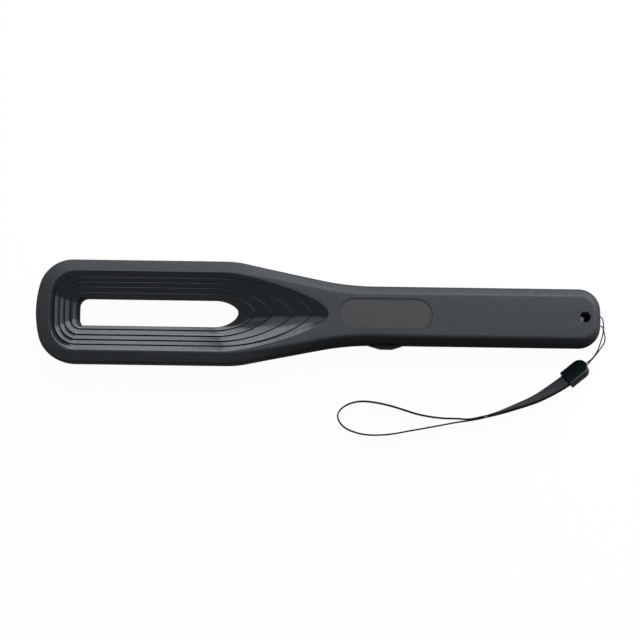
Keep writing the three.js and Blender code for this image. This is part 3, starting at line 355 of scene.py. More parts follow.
def loft_object(name, rows, closed=False):
    """A body skinned over rows of points: a closed ring, or one with a flat face on each end row."""
    count = len(rows[0])
    faces = [] if closed else [tuple(range(count))]
    for row in range(len(rows) if closed else len(rows) - 1):
        other = (row + 1) % len(rows)
        for i in range(count):
            j = (i + 1) % count
            faces.append((row * count + i, other * count + i, other * count + j, row * count + j))
    if not closed:
        last = (len(rows) - 1) * count
        faces.append(tuple(last + i for i in reversed(range(count))))
    return mesh_object(name, [point for row in rows for point in row], faces)


def turned_object(name, x, pairs, sides=48):
    """A body turned about an upright axis from (radius, height) pairs that start and end on it."""
    inner = pairs[1:-1]
    turns = [2 * pi * i / sides for i in range(sides)]
    points = [(x + r * cos(t), r * sin(t), z) for r, z in inner for t in turns]
    points += [(x, 0, pairs[0][1]), (x, 0, pairs[-1][1])]
    bottom, top = len(points) - 2, len(points) - 1
    last = (len(inner) - 1) * sides
    faces = []
    for i in range(sides):
        j = (i + 1) % sides
        faces.append((bottom, j, i))
        faces.append((top, last + i, last + j))
        for row in range(0, last, sides):
            faces.append((row + i, row + j, row + sides + j, row + sides + i))
    return mesh_object(name, points, faces)


def block(low, high):
    """A box from its lowest corner to its highest, for cuts and joins."""
    points = [(x, y, z) for x in (low[0], high[0]) for y in (low[1], high[1]) for z in (low[2], high[2])]
    faces = [(0, 1, 3, 2), (4, 6, 7, 5), (0, 4, 5, 1), (2, 3, 7, 6), (0, 2, 6, 4), (1, 5, 7, 3)]
    return mesh_object("block", points, faces)


def block_at(x, y, length, width, bottom, top):
    return block((x - length / 2, y - width / 2, bottom), (x + length / 2, y + width / 2, top))


def raised_object(name, outline, profile):
    """An outline of (x, y) points raised through a profile of (inset, height) pairs."""
    return loft_object(name, [[(x, y, z) for x, y in offset(outline, inset)] for inset, z in profile])


def offset(outline, inset):
    """An outline that runs counter-clockwise, moved inwards corner by corner."""
    if not inset:
        return outline
    moved = []
    for i, (x, y) in enumerate(outline):
        before, after = outline[i - 1], outline[(i + 1) % len(outline)]
        a = Vector((x - before[0], y - before[1])).normalized()
        b = Vector((after[0] - x, after[1] - y)).normalized()
        na, nb = Vector((-a.y, a.x)), Vector((-b.y, b.x))
        way = (na + nb) / (1 + na.dot(nb))
        moved.append((x + way.x * inset, y + way.y * inset))
    return moved


def combine(target, others, operation):
    """Joins the others to the target, or cuts them from it, and removes them."""
    for other in others:
        modifier = target.modifiers.new("boolean", "BOOLEAN")
        modifier.operation = operation
        modifier.solver = "EXACT"
        modifier.object = other
        apply_modifiers(target)
        bpy.data.objects.remove(other)


def apply_modifiers(piece):
    graph = bpy.context.evaluated_depsgraph_get()
    made = bpy.data.meshes.new_from_object(piece.evaluated_get(graph))
    piece.modifiers.clear()
    piece.data = made


def joined(pieces, name):
    """Several objects that don't touch, as one object."""
    first = pieces[0]
    with bpy.context.temp_override(active_object=first, selected_editable_objects=pieces):
        bpy.ops.object.join()
    first.name = name
    return first


def smooth(piece, angle=32.0):
    """Smooth shading, with sharp edges where faces meet at more than the angle."""
    piece.data.shade_smooth()
    piece.data.set_sharp_from_angle(angle=radians(angle))
    return piece


def bevelled(piece, width, segments=3, angle=30.0):
    modifier = piece.modifiers.new("bevel", "BEVEL")
    modifier.width = width * MM
    modifier.segments = segments
    modifier.limit_method = "ANGLE"
    modifier.angle_limit = radians(angle)
    apply_modifiers(piece)
    return piece


def turned_over(piece, name):
    """A copy of a piece mirrored in the parting plane."""
    copy = new_object(name, piece.data.copy())
    copy.data.transform(Matrix.Translation((0, 0, THICKNESS * MM)) @ Matrix.Scale(-1, 4, (0, 0, 1)))
    copy.data.flip_normals()
    return copy


def paint(piece, *materials):
    for item in materials:
        piece.data.materials.append(item)


def finish_piece(piece, node_name, slot_name, *materials, body="wand"):
    """Gives a piece its materials, hangs it on the body it rides on, and hides the node that it replaces."""
    paint(piece, *materials)
    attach(piece, body)
    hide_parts(node_name)


# Materials

# The swing of roughness with the mottle, its least value, and the detail of both noises
ROUGHNESS_SWING, LEAST_ROUGHNESS = 0.06, 0.02
MOTTLE_DETAIL, GRAIN_DETAIL = 3.0, 2.0
# Heights of a face's unit normal between the painted wall shade and a full tone, and the share of tone that walls
# keep under the painted shade
STEEP_LOW, STEEP_HIGH, STEEP_SHADE_TONE = 0.2, 0.66, 0.5


def set_inputs(node, inputs):
    """Links the inputs that are given a socket, and sets the others."""
    for name, value in inputs.items():
        if isinstance(value, bpy.types.NodeSocket):
            node.id_data.links.new(value, node.inputs[name])
        else:
            node.inputs[name].default_value = value


def add_node(tree, kind, inputs, operation=None, output=0):
    """The output of a new shader node."""
    node = tree.nodes.new("ShaderNode" + kind)
    if operation:
        node.operation = operation
    set_inputs(node, inputs)
    return node.outputs[output]


def color_mix(tree, share, first, second):
    """A blend of two colours, each given as a colour or as a socket."""
    node = tree.nodes.new("ShaderNodeMix")
    node.data_type = "RGBA"
    set_inputs(node, {0: share, 6: first, 7: second})
    return node.outputs[2]


def noise(tree, place, size, detail):
    return add_node(tree, "TexNoise", {"Scale": 1 / (size * MM), "Detail": detail, "Vector": place})


def new_material(name):
    item = bpy.data.materials.new(name)
    item.use_nodes = True
    return item, item.node_tree, item.node_tree.nodes["Principled BSDF"]


def source_of(shader, name):
    """The socket that an input is linked to."""
    return shader.inputs[name].links[0].from_socket


def paint_steep_face_shade(tree, shader, normal):
    """Painted shade: side walls get a darker base colour than the faces up, by how far their normal leans from
    upright.
    """
    level = add_node(tree, "SeparateXYZ", {"Vector": normal}, output="Z")
    level = add_node(tree, "Math", {0: level}, "ABSOLUTE")
    share = add_node(tree, "MapRange", {
        "From Min": STEEP_LOW, "From Max": STEEP_HIGH, "To Min": STEEP_SHADE_TONE, "Value": level,
    })
    tone = add_node(tree, "VectorMath", {0: source_of(shader, "Base Color"), "Scale": share}, "SCALE")
    set_inputs(shader, {"Base Color": tone})


def surface(
    name, color, roughness, metallic=0.0, specular=0.5, tint=(1, 1, 1), grain=None, mottle=None, coat=0.0, steep_shade=False
):
    """A procedural finish. grain is (size in mm, height in mm); mottle is (size in mm, share)."""
    item, tree, shader = new_material(name)
    set_inputs(shader, {
        "Base Color": (*color, 1), "Roughness": roughness, "Metallic": metallic,
        "Specular IOR Level": specular, "Specular Tint": (*tint, 1), "Coat Weight": coat,
    })
    place = tree.nodes.new("ShaderNodeTexCoord").outputs
    if mottle:
        size, swing = mottle
        cloud = noise(tree, place["Object"], size, MOTTLE_DETAIL)
        dark, light = ((*[min(c * (1 + way), 1) for c in color], 1) for way in (-swing, swing))
        rough = add_node(tree, "MapRange", {
            "To Min": max(roughness - ROUGHNESS_SWING, LEAST_ROUGHNESS),
            "To Max": min(roughness + ROUGHNESS_SWING, 1.0), "Value": cloud,
        })
        set_inputs(shader, {"Base Color": color_mix(tree, cloud, dark, light), "Roughness": rough})
    if grain:
        size, depth = grain
        fine = noise(tree, place["Object"], size, GRAIN_DETAIL)
        set_inputs(shader, {"Normal": add_node(tree, "Bump", {"Distance": depth * MM, "Height": fine})})
    # Painted shade on faces that lean towards upright
    if steep_shade:
        paint_steep_face_shade(tree, shader, place["Normal"])
    return item


# Both housing finishes carry the painted shade on their side walls
MATTE = {"tint": (0.85, 0.95, 1.0), "grain": (1.0, 0.26), "mottle": (1.0, 0.4), "steep_shade": True}
housing_matte = surface("housing_matte", (0.0395, 0.0437, 0.049), 0.46, specular=0.11, **MATTE)
housing_wall = surface("housing_wall", (0.047, 0.052, 0.0575), 0.46, specular=0.001, **MATTE)
housing_gloss = surface(
    "housing_gloss", (0.001, 0.0025, 0.004), 0.12, specular=0.21, tint=(0.9, 0.95, 1.0),
    grain=(5.0, 0.012), mottle=(3.0, 0.05),
)
label_satin = surface(
    "label_satin", (0.048, 0.0505, 0.053), 0.42, specular=0.12, grain=(0.4, 0.003), mottle=(4.0, 0.04)
)
screw_dark = surface("screw_dark", (0.6, 0.6, 0.62), 0.45, metallic=1.0, grain=(0.3, 0.004), mottle=(0.8, 0.08))
button_rubber = surface(
    "button_rubber", (0.012, 0.014, 0.015), 0.6, specular=0.06, grain=(0.4, 0.01), mottle=(1.0, 0.1)
)
clip_black = surface("clip_black", (0.004, 0.009, 0.009), 0.2, specular=0.05, mottle=(3.0, 0.05))
# A lighter copy of the clip's black, painted on one edge as a highlight
clip_edge_highlight = surface("clip_edge_highlight", (0.07, 0.085, 0.085), 0.3, specular=0.2, mottle=(3.0, 0.05))


# Camera, lights and floor


def point_at(piece, target, up):
    """Turns an object so that it looks along -Z at a target, with Y towards up."""
    back = (piece.location - Vector(target)).normalized()
    right = Vector(up).cross(back).normalized()
    basis = Matrix((right, back.cross(right), back)).transposed().to_4x4()
    piece.matrix_world = Matrix.Translation(piece.location) @ basis


def make_camera():
    data = bpy.data.cameras.new("camera")
    camera = new_object("camera", data)
    camera.location = Vector(CAMERA) * MM
    point_at(camera, Vector(AIM) * MM, (-sin(ROLL), cos(ROLL), 0))
    data.sensor_width = SENSOR
    data.lens = SENSOR * dist(CAMERA, AIM) / (PIXEL * PHOTO_PIXELS)
    data.clip_start, data.clip_end = CAMERA_RANGE
    bpy.context.scene.camera = camera


def direction(bearing, height):
    turn, lift = radians(bearing), radians(height)
    return Vector((cos(lift) * cos(turn), cos(lift) * sin(turn), sin(lift)))


def panel_light(name, first, last, width, radiance):
    """A lamp panel that reaches from one direction to another, each a bearing and a height in degrees."""
    ends = [direction(*end) * LIGHT_DISTANCE for end in (first, last)]
    data = bpy.data.lights.new(name, "AREA")
    data.shape = "RECTANGLE"
    data.size, data.size_y = width, (ends[1] - ends[0]).length
    data.energy = pi * data.size * data.size_y * radiance
    lamp = new_object(name, data)
    lamp.location = (ends[0] + ends[1]) / 2
    point_at(lamp, (0, 0, 0), ends[1] - ends[0])


def seen_share(tree):
    """1 for camera, glossy and transmission rays, which see the plain background."""
    rays = tree.nodes.new("ShaderNodeLightPath").outputs
    share = rays["Is Camera Ray"]
    for kind in ("Is Glossy Ray", "Is Transmission Ray"):
        share = add_node(tree, "Math", {0: share, 1: rays[kind]}, "MAXIMUM")
    return share


FLOOR_SIZE, FLOOR_TONE, FLOOR_ROUGHNESS, FLOOR_WHITE_SHARE = 3000.0, 0.8, 0.9, 0.97
WORLD_FILL = 0.03
# Lamp panels: the directions of both ends as (bearing, height) in degrees, the width in metres, and the radiance
LIGHT_DISTANCE = 1.4
LIGHTS = (
    ("key", (20, 13), (80, 13), 0.3, 20.0),
    ("side_strip", (103, 27), (112, 60), 0.22, 11.4),
    ("side_glow", (124, 57), (124, 69), 0.24, 2.4),
    ("corner_strip", (102, 48), (34, 61), 0.27, 11.2),
    ("corner_glow", (34, 61), (2, 62), 0.27, 3.4),
)


def make_world():
    world = bpy.data.worlds.new("world")
    bpy.context.scene.world = world
    world.use_nodes = True
    tree = world.node_tree
    strength = add_node(tree, "MapRange", {"To Min": WORLD_FILL, "To Max": 1.0, "Value": seen_share(tree)})
    set_inputs(tree.nodes["Background"], {"Strength": strength, "Color": (1, 1, 1, 1)})


def make_floor():
    size = FLOOR_SIZE
    corners = [(-size, -size, 0), (size, -size, 0), (size, size, 0), (-size, size, 0)]
    floor = mesh_object("floor", corners, [(0, 1, 2, 3)])
    item, tree, plain = new_material("floor_white")
    set_inputs(plain, {"Base Color": (*[FLOOR_TONE] * 3, 1), "Roughness": FLOOR_ROUGHNESS})
    share = add_node(tree, "Math", {0: seen_share(tree), 1: FLOOR_WHITE_SHARE}, "MULTIPLY")
    white = add_node(tree, "Emission", {})
    blend = add_node(tree, "MixShader", {"Fac": share, 1: plain.outputs["BSDF"], 2: white})
    set_inputs(tree.nodes["Material Output"], {"Surface": blend})
    paint(floor, item)


def make_stage():
    bpy.context.scene.view_settings.view_transform = "Standard"
    make_camera()
    make_world()
    make_floor()
    for light in LIGHTS:
        panel_light(*light)


make_stage()


# The string: out of the upper hole, into the clip, round inside it, and back

STRING_INSIDE = [(x, y, MID) for x, y in ((196.5, -1.15), (196.5, -0.3), (196.7, 0.6), (197.3, 1.35), (198.5, 1.65))]
STRING_OUT = [
    (200.6, 1.7, 15), (201.6, 0.7, 14.7), (202.5, -2.2, 13.8), (202.9, -5.6, 12.6), (202.8, -9.2, 11.2),
    (202.1, -13, 9.8), (201, -17.4, 8.5), (199.2, -22.2, 7.3), (196.4, -26.6, 6.6),
]
CLIP_LOOP = [
    (9.35, -0.75), (7, -0.75), (5, -1.3), (3.2, -1.9), (1.4, -1.7), (0.6, 0),
    (1.4, 1.7), (3.2, 1.9), (5, 1.3), (7, 0.75), (9.35, 0.75),
]
STRING_BACK = [
    (196.9, -26.3, 7.8), (199.6, -22.8, 8.6), (202, -19.2, 9.5), (203.6, -16.6, 10.4), (204.1, -14, 11.4),
    (203.8, -11.6, 12.4), (203.1, -9, 13.5), (202.4, -6.8, 14.3), (201.6, -5.4, 14.8), (200.6, -4.9, 15),
]
STRING_RETURN = [(x, 2 * EYELET_OFFSET - y, z) for x, y, z in reversed(STRING_INSIDE)]

UP = Vector((0, 0, 1))
CLIP_CENTRE = Vector(CLIP_PLACE)
CLIP_ALONG = Vector((cos(CLIP_HEADING), sin(CLIP_HEADING), 0))
CLIP_ACROSS = Vector((sin(CLIP_HEADING), -cos(CLIP_HEADING), 0)) * cos(CLIP_ROLL)
CLIP_ACROSS += UP * sin(CLIP_ROLL)
CLIP_OUT = CLIP_ALONG.cross(CLIP_ACROSS)


def in_clip(along, across):
    return CLIP_CENTRE + CLIP_ALONG * along + CLIP_ACROSS * across


FINENESS = 4


def curve_points(points, gap):
    """Evenly spaced points of a smooth curve through the given ones."""
    points = [Vector(p) for p in points]
    knots = [points[0] * 2 - points[1], *points, points[-1] * 2 - points[-2]]
    fine = []
    for i in range(1, len(knots) - 2):
        p = knots[i - 1 : i + 3]
        t = [0.0]
        for a, b in zip(p, p[1:]):
            t.append(t[-1] + sqrt((b - a).length))
        steps = max(int((p[2] - p[1]).length / gap * FINENESS), FINENESS)
        fine += [catmull(p, t, mix(t[1], t[2], k / steps)) for k in range(steps)]
    return evenly([*fine, points[-1]], gap)


def catmull(p, t, at):
    """A point of the centripetal curve through four knots."""
    level = list(p)
    for depth in range(1, 4):
        following = []
        for i in range(len(level) - 1):
            start, end = (t[1], t[2]) if depth == 3 else (t[i], t[i + depth])
            following.append(level[i].lerp(level[i + 1], (at - start) / (end - start)))
        level = following
    return level[0]


def lengths_along(points):
    """How far along a route each of its points lies."""
    lengths = [0.0]
    for a, b in zip(points, points[1:]):
        lengths.append(lengths[-1] + (b - a).length)
    return lengths


def even_places(lengths, count):
    """Evenly spaced distances along a route, each after the index of the stretch that it lies in."""
    k = 0
    for i in range(count + 1):
        want = lengths[-1] * i / count
        while k < len(lengths) - 2 and lengths[k + 1] < want:
            k += 1
        yield k, want


def evenly(points, gap):
    lengths = lengths_along(points)
    out = []
    for k, want in even_places(lengths, max(round(lengths[-1] / gap), 1)):
        span = lengths[k + 1] - lengths[k]
        out.append(points[k].lerp(points[k + 1], (want - lengths[k]) / span if span else 0))
    return out


def route_length(points):
    return lengths_along(points)[-1]


def directions(points):
    """The travel direction at each point of a route."""
    last = len(points) - 1
    return [(points[min(i + 1, last)] - points[max(i - 1, 0)]).normalized() for i in range(last + 1)]


STRING_GAP = 0.2
BRAID_SIDES, BRAID_STRANDS, BRAID_DEPTH, BRAID_PITCH = 16, 3, 0.06, 2.4


def make_string():
    loop = [in_clip(*place) for place in CLIP_LOOP]
    route = curve_points(STRING_INSIDE + STRING_OUT + loop + STRING_BACK + STRING_RETURN, STRING_GAP)
    rows = []
    normal = UP
    for i, (point, along) in enumerate(zip(route, directions(route))):
        normal = (normal - along * normal.dot(along)).normalized()
        side = along.cross(normal)
        row = []
        for k in range(BRAID_SIDES):
            turn = 2 * pi * k / BRAID_SIDES
            twist = 2 * pi * i * STRING_GAP / BRAID_PITCH
            strand = cos(BRAID_STRANDS * turn + twist) * cos(BRAID_STRANDS * turn - twist)
            radius = STRING_RADIUS * (1 - BRAID_DEPTH + BRAID_DEPTH * strand * 2)
            row.append(tuple(point + normal * radius * cos(turn) + side * radius * sin(turn)))
        rows.append(row)
    piece = smooth(loft_object("strap_string_braided", rows), angle=80)
    finish_piece(piece, "strap_string", "string_fibre", string_fibre)


string_fibre = surface(
    "string_fibre", (0.045, 0.045, 0.06), 0.75, specular=0.3, grain=(0.15, 0.02), mottle=(0.5, 0.35)
)
make_string()


# The webbing: two layers from the clip to where they part, then a loop

WEB_SHARED = [
    (168.6, -49.2, 6.3), (155.4, -56.9, 6), (142.2, -62.35, 5.8), (129, -67.2, 5.6), (118, -70.3, 5.4),
    (107.5, -72.4, 5.3),
]
WEB_ROLL_SHARES = (0, 0, 0.2, 0.5, 0.71, 0.9, 1, 1)
# The loop lies on edge, with its middle at this height
WEB_LOOP_HEIGHT = 5.3
WEB_LOOP = [
    (99.9, -71.6), (89.3, -71.4), (79.9, -70.4), (70.6, -68.6), (61.2, -65.8), (51.9, -63.1), (43.9, -61.4),
    (35.9, -60.3), (29.2, -60.4), (22, -62.3), (16.3, -66.3), (14.3, -70.5), (15.8, -75.2), (20, -79.4),
    (26.8, -82.3), (34.9, -83.9), (44.2, -84), (53.5, -83.1), (65.5, -80.8), (76.1, -78.8), (89.3, -76.2),
    (99.9, -74.1),
]


def web_layer(side):
    """Knots of one layer of the shared stretch: each place, and the way its width points."""
    line = [in_clip(along - CLIP_LENGTH / 2, 0) for along in (WEB_INSERT, 0)] + [Vector(p) for p in WEB_SHARED]
    knots = []
    for i, point in enumerate(line):
        before, after = line[max(i - 1, 0)], line[min(i + 1, len(line) - 1)]
        roll = mix(CLIP_ROLL, pi / 2, WEB_ROLL_SHARES[i])
        along = Vector((before.x - after.x, before.y - after.y, 0)).normalized()
        across = Vector((along.y, -along.x, 0)) * cos(roll) + UP * sin(roll)
        out = along.cross(across)
        knots.append((point + out * side * WEB_LAYERS / 2, across))
    return knots


WEB_GAP = 0.45
# Half the webbing's section from its middle out, as shares of half the width and half the thickness
WEB_SECTION = [(share, 0.86) for share in (0.0, 0.12, 0.24, 0.36, 0.48, 0.6, 0.7)] + [
    (0.78, 0.84), (0.82, 0.74), (0.86, 0.9), (0.91, 1.0), (0.95, 0.95), (0.985, 0.7), (1.0, 0.3),
]
WEB_TOP = [(-a, b) for a, b in reversed(WEB_SECTION[1:])] + WEB_SECTION
WEB_RING = WEB_TOP + [(a, -b) for a, b in reversed(WEB_TOP)]
# The ribs' height, and the share of half the width that they reach
RIB_HEIGHT, RIB_REACH = 0.05, 0.8


def web_route(knots):
    """Evenly spaced points through the knots, and the way the width points at each."""
    places = [place for place, _ in knots]
    route = curve_points(places, WEB_GAP)
    lengths = lengths_along(places)
    ways = []
    for k, want in even_places(lengths, len(route) - 1):
        near = [min(max(j, 0), len(knots) - 1) for j in (k - 1, k, k + 1, k + 2)]
        first, last = lengths[k], lengths[k + 1]
        bends = [
            (knots[b][1] - knots[a][1]) * (last - first) / (lengths[b] - lengths[a])
            for a, b in (near[0::2], near[1::2])
        ]
        t = min(max((want - first) / (last - first), 0), 1)
        way = knots[k][1] * (1 + 2 * t) * (1 - t) ** 2 + knots[k + 1][1] * (3 - 2 * t) * t * t
        ways.append(way + bends[0] * t * (1 - t) ** 2 + bends[1] * (t - 1) * t * t)
    return route, ways


def web_strip(name, route, ways):
    """Webbing along a route, with ribs across it and a raised edge along each side."""
    rows, uvs = [], []
    for i, (point, along) in enumerate(zip(route, directions(route))):
        across = (ways[i] - along * along.dot(ways[i])).normalized()
        out = along.cross(across)
        rib = RIB_HEIGHT * (i % 2)
        row = []
        for a, b in WEB_RING:
            inner = rib if abs(a) < RIB_REACH else 0
            height = (b * WEB_THICKNESS / 2) - copysign(inner, b)
            row.append(tuple(point + across * a * WEB_WIDTH / 2 + out * height))
        rows.append(row)
        uvs += [(a * WEB_WIDTH / 2, i * WEB_GAP) for a, _ in WEB_RING]
    piece = loft_object(name, rows)
    layer = piece.data.uv_layers.new(name="weave")
    for loop in piece.data.loops:
        layer.data[loop.index].uv = uvs[loop.vertex_index]
    return smooth(piece, angle=60)


# Where the darker edges start and end, as shares of the width from the middle, their colour and the twill's depth
EDGE_SHARES, EDGE_COLOR, TWILL_DEPTH = (0.4, 0.43), (0.008, 0.011, 0.012), 0.015


def webbing_finish():
    """Woven polyester: a fine twill across, with darker edges."""
    item = surface(
        "webbing_weave", (0.036, 0.039, 0.044), 0.85, specular=0.1, grain=(0.18, 0.006), mottle=(0.5, 0.08)
    )
    tree = item.node_tree
    shader = tree.nodes["Principled BSDF"]
    place = tree.nodes.new("ShaderNodeUVMap")
    place.uv_map = "weave"
    across = add_node(tree, "SeparateXYZ", {"Vector": place.outputs["UV"]}, output="X")
    across = add_node(tree, "Math", {0: across}, "ABSOLUTE")
    low, high = (WEB_WIDTH * share for share in EDGE_SHARES)
    edge = add_node(tree, "MapRange", {"From Min": low, "From Max": high, "Value": across})
    wave = add_node(tree, "TexWave", {"Scale": 1.0, "Vector": place.outputs["UV"]}, output="Fac")
    wave.node.bands_direction = "DIAGONAL"
    set_inputs(shader, {
        "Base Color": color_mix(tree, edge, source_of(shader, "Base Color"), (*EDGE_COLOR, 1)),
        "Normal": add_node(tree, "Bump", {
            "Distance": TWILL_DEPTH * MM, "Height": wave, "Normal": source_of(shader, "Normal"),
        }),
    })
    return item


def make_webbing():
    loop = [(Vector((x, y, WEB_LOOP_HEIGHT)), UP) for x, y in WEB_LOOP]
    upper, lower = web_layer(-1), web_layer(1)
    route, ways = web_route(upper + loop + lower[::-1])
    # The layers part as far along as their shared line is long
    steps = round(route_length([Vector(p) for p, _ in upper]) / WEB_GAP)
    last = len(route) - 1
    first, second, between = slice(steps + 1), slice(last - steps, None), slice(steps, last - steps + 1)
    weave = webbing_finish()
    tail = joined([
        web_strip("tail_upper", route[first], ways[first]), web_strip("tail_lower", route[second], ways[second]),
    ], "strap_webbing_tail")
    finish_piece(tail, "strap_webbing", "strap_fibre", weave)
    line = route[between]
    piece = web_strip("strap_webbing_loop", line, ways[between])
    finish_piece(piece, "strap_webbing", "strap_fibre", weave)


make_webbing()


# Covers


def shared_cuts():
    """Openings that both covers share at the seam."""
    x = GRIP_START + BUTTON_CENTRE
    reach, side = BUTTON_BASE / 2 + FIT, BUTTON_HEIGHT / 2 + FIT
    wide, tall = reach + BUTTON_LIP, side + BUTTON_LIP
    window = block((x - reach, -GRIP_HALF - OVERRUN, MID - side), (x + reach, -INNER + WALL, MID + side))
    seat = block((x - wide, -INNER, MID - tall), (x + wide, -INNER + WALL + OVERRUN, MID + tall))
    cuts = [window, seat]
    for way in (1, -1):
        y = EYELET_OFFSET + way * EYELET_SPACING / 2
        low = (GRIP_END - WALL - OVERRUN, y - EYELET_WIDTH / 2, MID - EYELET_HEIGHT / 2)
        high = (GRIP_END + OVERRUN, y + EYELET_WIDTH / 2, MID + EYELET_HEIGHT / 2)
        cuts.append(block(low, high))
    return cuts


def stadium(start, length, half, steps=32):
    right, left = start + length - half, start + half
    points = arc(right, 0, half, -pi / 2 - pi / steps, pi / 2, steps + 1)
    return points + arc(left, 0, half, pi / 2 - pi / steps, pi * 1.5, steps + 1)


WELL_X = GRIP_END - WELL_FROM_END
WELL_FLOOR = THICKNESS - WELL_DEPTH
CUT_ROUND = 0.25
SLOT_WALL_ROWS = 3


def make_shells():
    side, dish, room = side_loops(), dish_loops(), room_loops()
    rows = side + dish + room
    matte, gloss, dull = range(3)
    # The dull finish runs from the parting over the side to the bevel, and over the slot's wall and the inside
    walls = 2 + len(SWELL_HEIGHT_SHARES) + EDGE_ROUND_STEPS + 1
    slots = [dull] * walls + [matte] * (len(side) - walls)
    slots += [gloss] * (len(dish) - SLOT_WALL_ROWS) + [dull] * (len(room) + SLOT_WALL_ROWS)
    rear = loft_object("rear_shell", rows, closed=True)
    paint(rear, housing_matte, housing_gloss, housing_wall)
    for i, face in enumerate(rear.data.polygons):
        face.material_index = slots[i // len(rows[0])]
    front = turned_over(rear, "front_shell")
    cut_rear(rear)
    cut_front(front)
    finish_piece(smooth(rear), "rear_cover", "housing_plastic")
    finish_piece(smooth(front), "front_cover", "housing_plastic")


def cut_rear(rear):
    """Adds the screw well, and cuts its bore and the label's recess."""
    seat, top, above = WELL_FLOOR - WELL_SEAT, THICKNESS - ROOF / 2, THICKNESS + OVERRUN
    core, outer, rim = SCREW_RADIUS + FIT, WELL_RADIUS + WELL_WALL, WELL_RADIUS + CUT_ROUND
    combine(rear, [turned_object("tube", WELL_X, [(0, seat), (outer, seat), (outer, top), (0, top)])], "UNION")
    bore = turned_object("bore", WELL_X, [
        (0, seat - OVERRUN), (core, seat - OVERRUN), (core, WELL_FLOOR), (WELL_RADIUS, WELL_FLOOR),
        (WELL_RADIUS, THICKNESS - CUT_ROUND), (rim, THICKNESS), (rim, above), (0, above),
    ])
    outline = stadium(GRIP_START + LABEL_START, LABEL_LENGTH, LABEL_HALF)
    recess = raised_object("recess", outline, [
        (0, THICKNESS - LABEL_DEPTH), (0, THICKNESS - CUT_ROUND), (-CUT_ROUND, THICKNESS), (-CUT_ROUND, above),
    ])
    combine(rear, [bore, recess, *shared_cuts()], "DIFFERENCE")


def cut_front(front):
    """Adds the pad over the slide knob's pocket, and cuts the openings for knob, lamps, buzzer and socket."""
    slider_x = GRIP_START + SLIDER_CENTRE
    half = PAD_LENGTH / 2 + SLIDER_TRAVEL + POCKET_MARGIN
    width = PAD_WIDTH + 2 * POCKET_MARGIN
    roof = POCKET_DEPTH + POCKET_FLOOR
    pad = block_at(slider_x, 0, 2 * (half + POCKET_PAD), width + 2 * POCKET_PAD, ROOF / 2, roof)
    combine(front, [pad], "UNION")
    stem_length, stem_width = STEM_LENGTH + 2 * (SLIDER_TRAVEL + FIT), STEM_WIDTH + 2 * FIT
    cuts = [
        block_at(slider_x, 0, 2 * half, width, -OVERRUN, POCKET_DEPTH),
        block_at(slider_x, 0, stem_length, stem_width, 0, roof + OVERRUN),
    ]
    wide = LAMP_RADIUS + FIT
    for i in range(LAMP_COUNT):
        cuts.append(turned_object("lamp_hole", lamp_x(i), [
            (0, -OVERRUN), (wide + CUT_ROUND, -OVERRUN), (wide + CUT_ROUND, 0), (wide, CUT_ROUND),
            (wide, ROOF + OVERRUN), (0, ROOF + OVERRUN),
        ]))
    for i in range(GRILLE_SLOTS):
        y = (i - (GRILLE_SLOTS - 1) / 2) * GRILLE_PITCH
        reach = sqrt(GRILLE_REACH**2 - y**2)
        outline = stadium(GRIP_START + BUZZER_CENTRE - reach, 2 * reach, GRILLE_WIDTH / 2, steps=8)
        outline = [(x, y + dy) for x, dy in outline]
        cuts.append(raised_object("grille_slot", outline, [(0, -OVERRUN), (0, ROOF + OVERRUN)]))
    port_x = GRIP_END - PORT_BACK - PORT_DEPTH
    cuts.append(block(
        (port_x - FIT, PORT_OFFSET - PORT_WIDTH / 2 - FIT, PORT_LIFT - FIT),
        (GRIP_END + OVERRUN, PORT_OFFSET + PORT_WIDTH / 2 + FIT, PORT_LIFT + PORT_HEIGHT + FIT),
    ))
    combine(front, cuts + shared_cuts(), "DIFFERENCE")


def lamp_x(i):
    return GRIP_START + LAMP_FIRST + i * LAMP_PITCH


make_shells()


# Label: a blank satin plate with a fine groove round it

LABEL_GROOVE, LABEL_GROOVE_DEPTH, LABEL_MARGIN = 0.35, 0.12, 0.8
LABEL_CHAMFER, GROOVE_CHAMFER = 0.08, 0.06


def make_label():
    bottom = THICKNESS - LABEL_DEPTH + FIT
    top = bottom + LABEL_PLATE
    outline = stadium(GRIP_START + LABEL_START + FIT, LABEL_LENGTH - 2 * FIT, LABEL_HALF - FIT, steps=48)
    dip, start, end = top - LABEL_GROOVE_DEPTH, LABEL_MARGIN, LABEL_MARGIN + LABEL_GROOVE
    plate = raised_object("label_plate", outline, [
        (0, bottom), (0, top - LABEL_CHAMFER), (LABEL_CHAMFER, top), (start, top),
        (start + GROOVE_CHAMFER, dip), (end - GROOVE_CHAMFER, dip), (end, top),
    ])
    finish_piece(smooth(plate, angle=25), "nameplate", "label_plastic", label_satin)


make_label()


# Screw at the bottom of the well, with a cross recess

CROSS_WIDTH, CROSS_REACH, CROSS_DEPTH, CROSS_TURN = 0.75, 1.7, 1.3, radians(25)
# The head's rim as a share of its height, and shares of a quarter turn over its dome
HEAD_RIM, DOME_SHARES = 0.35, (0.25, 0.5, 0.75, 0.95)


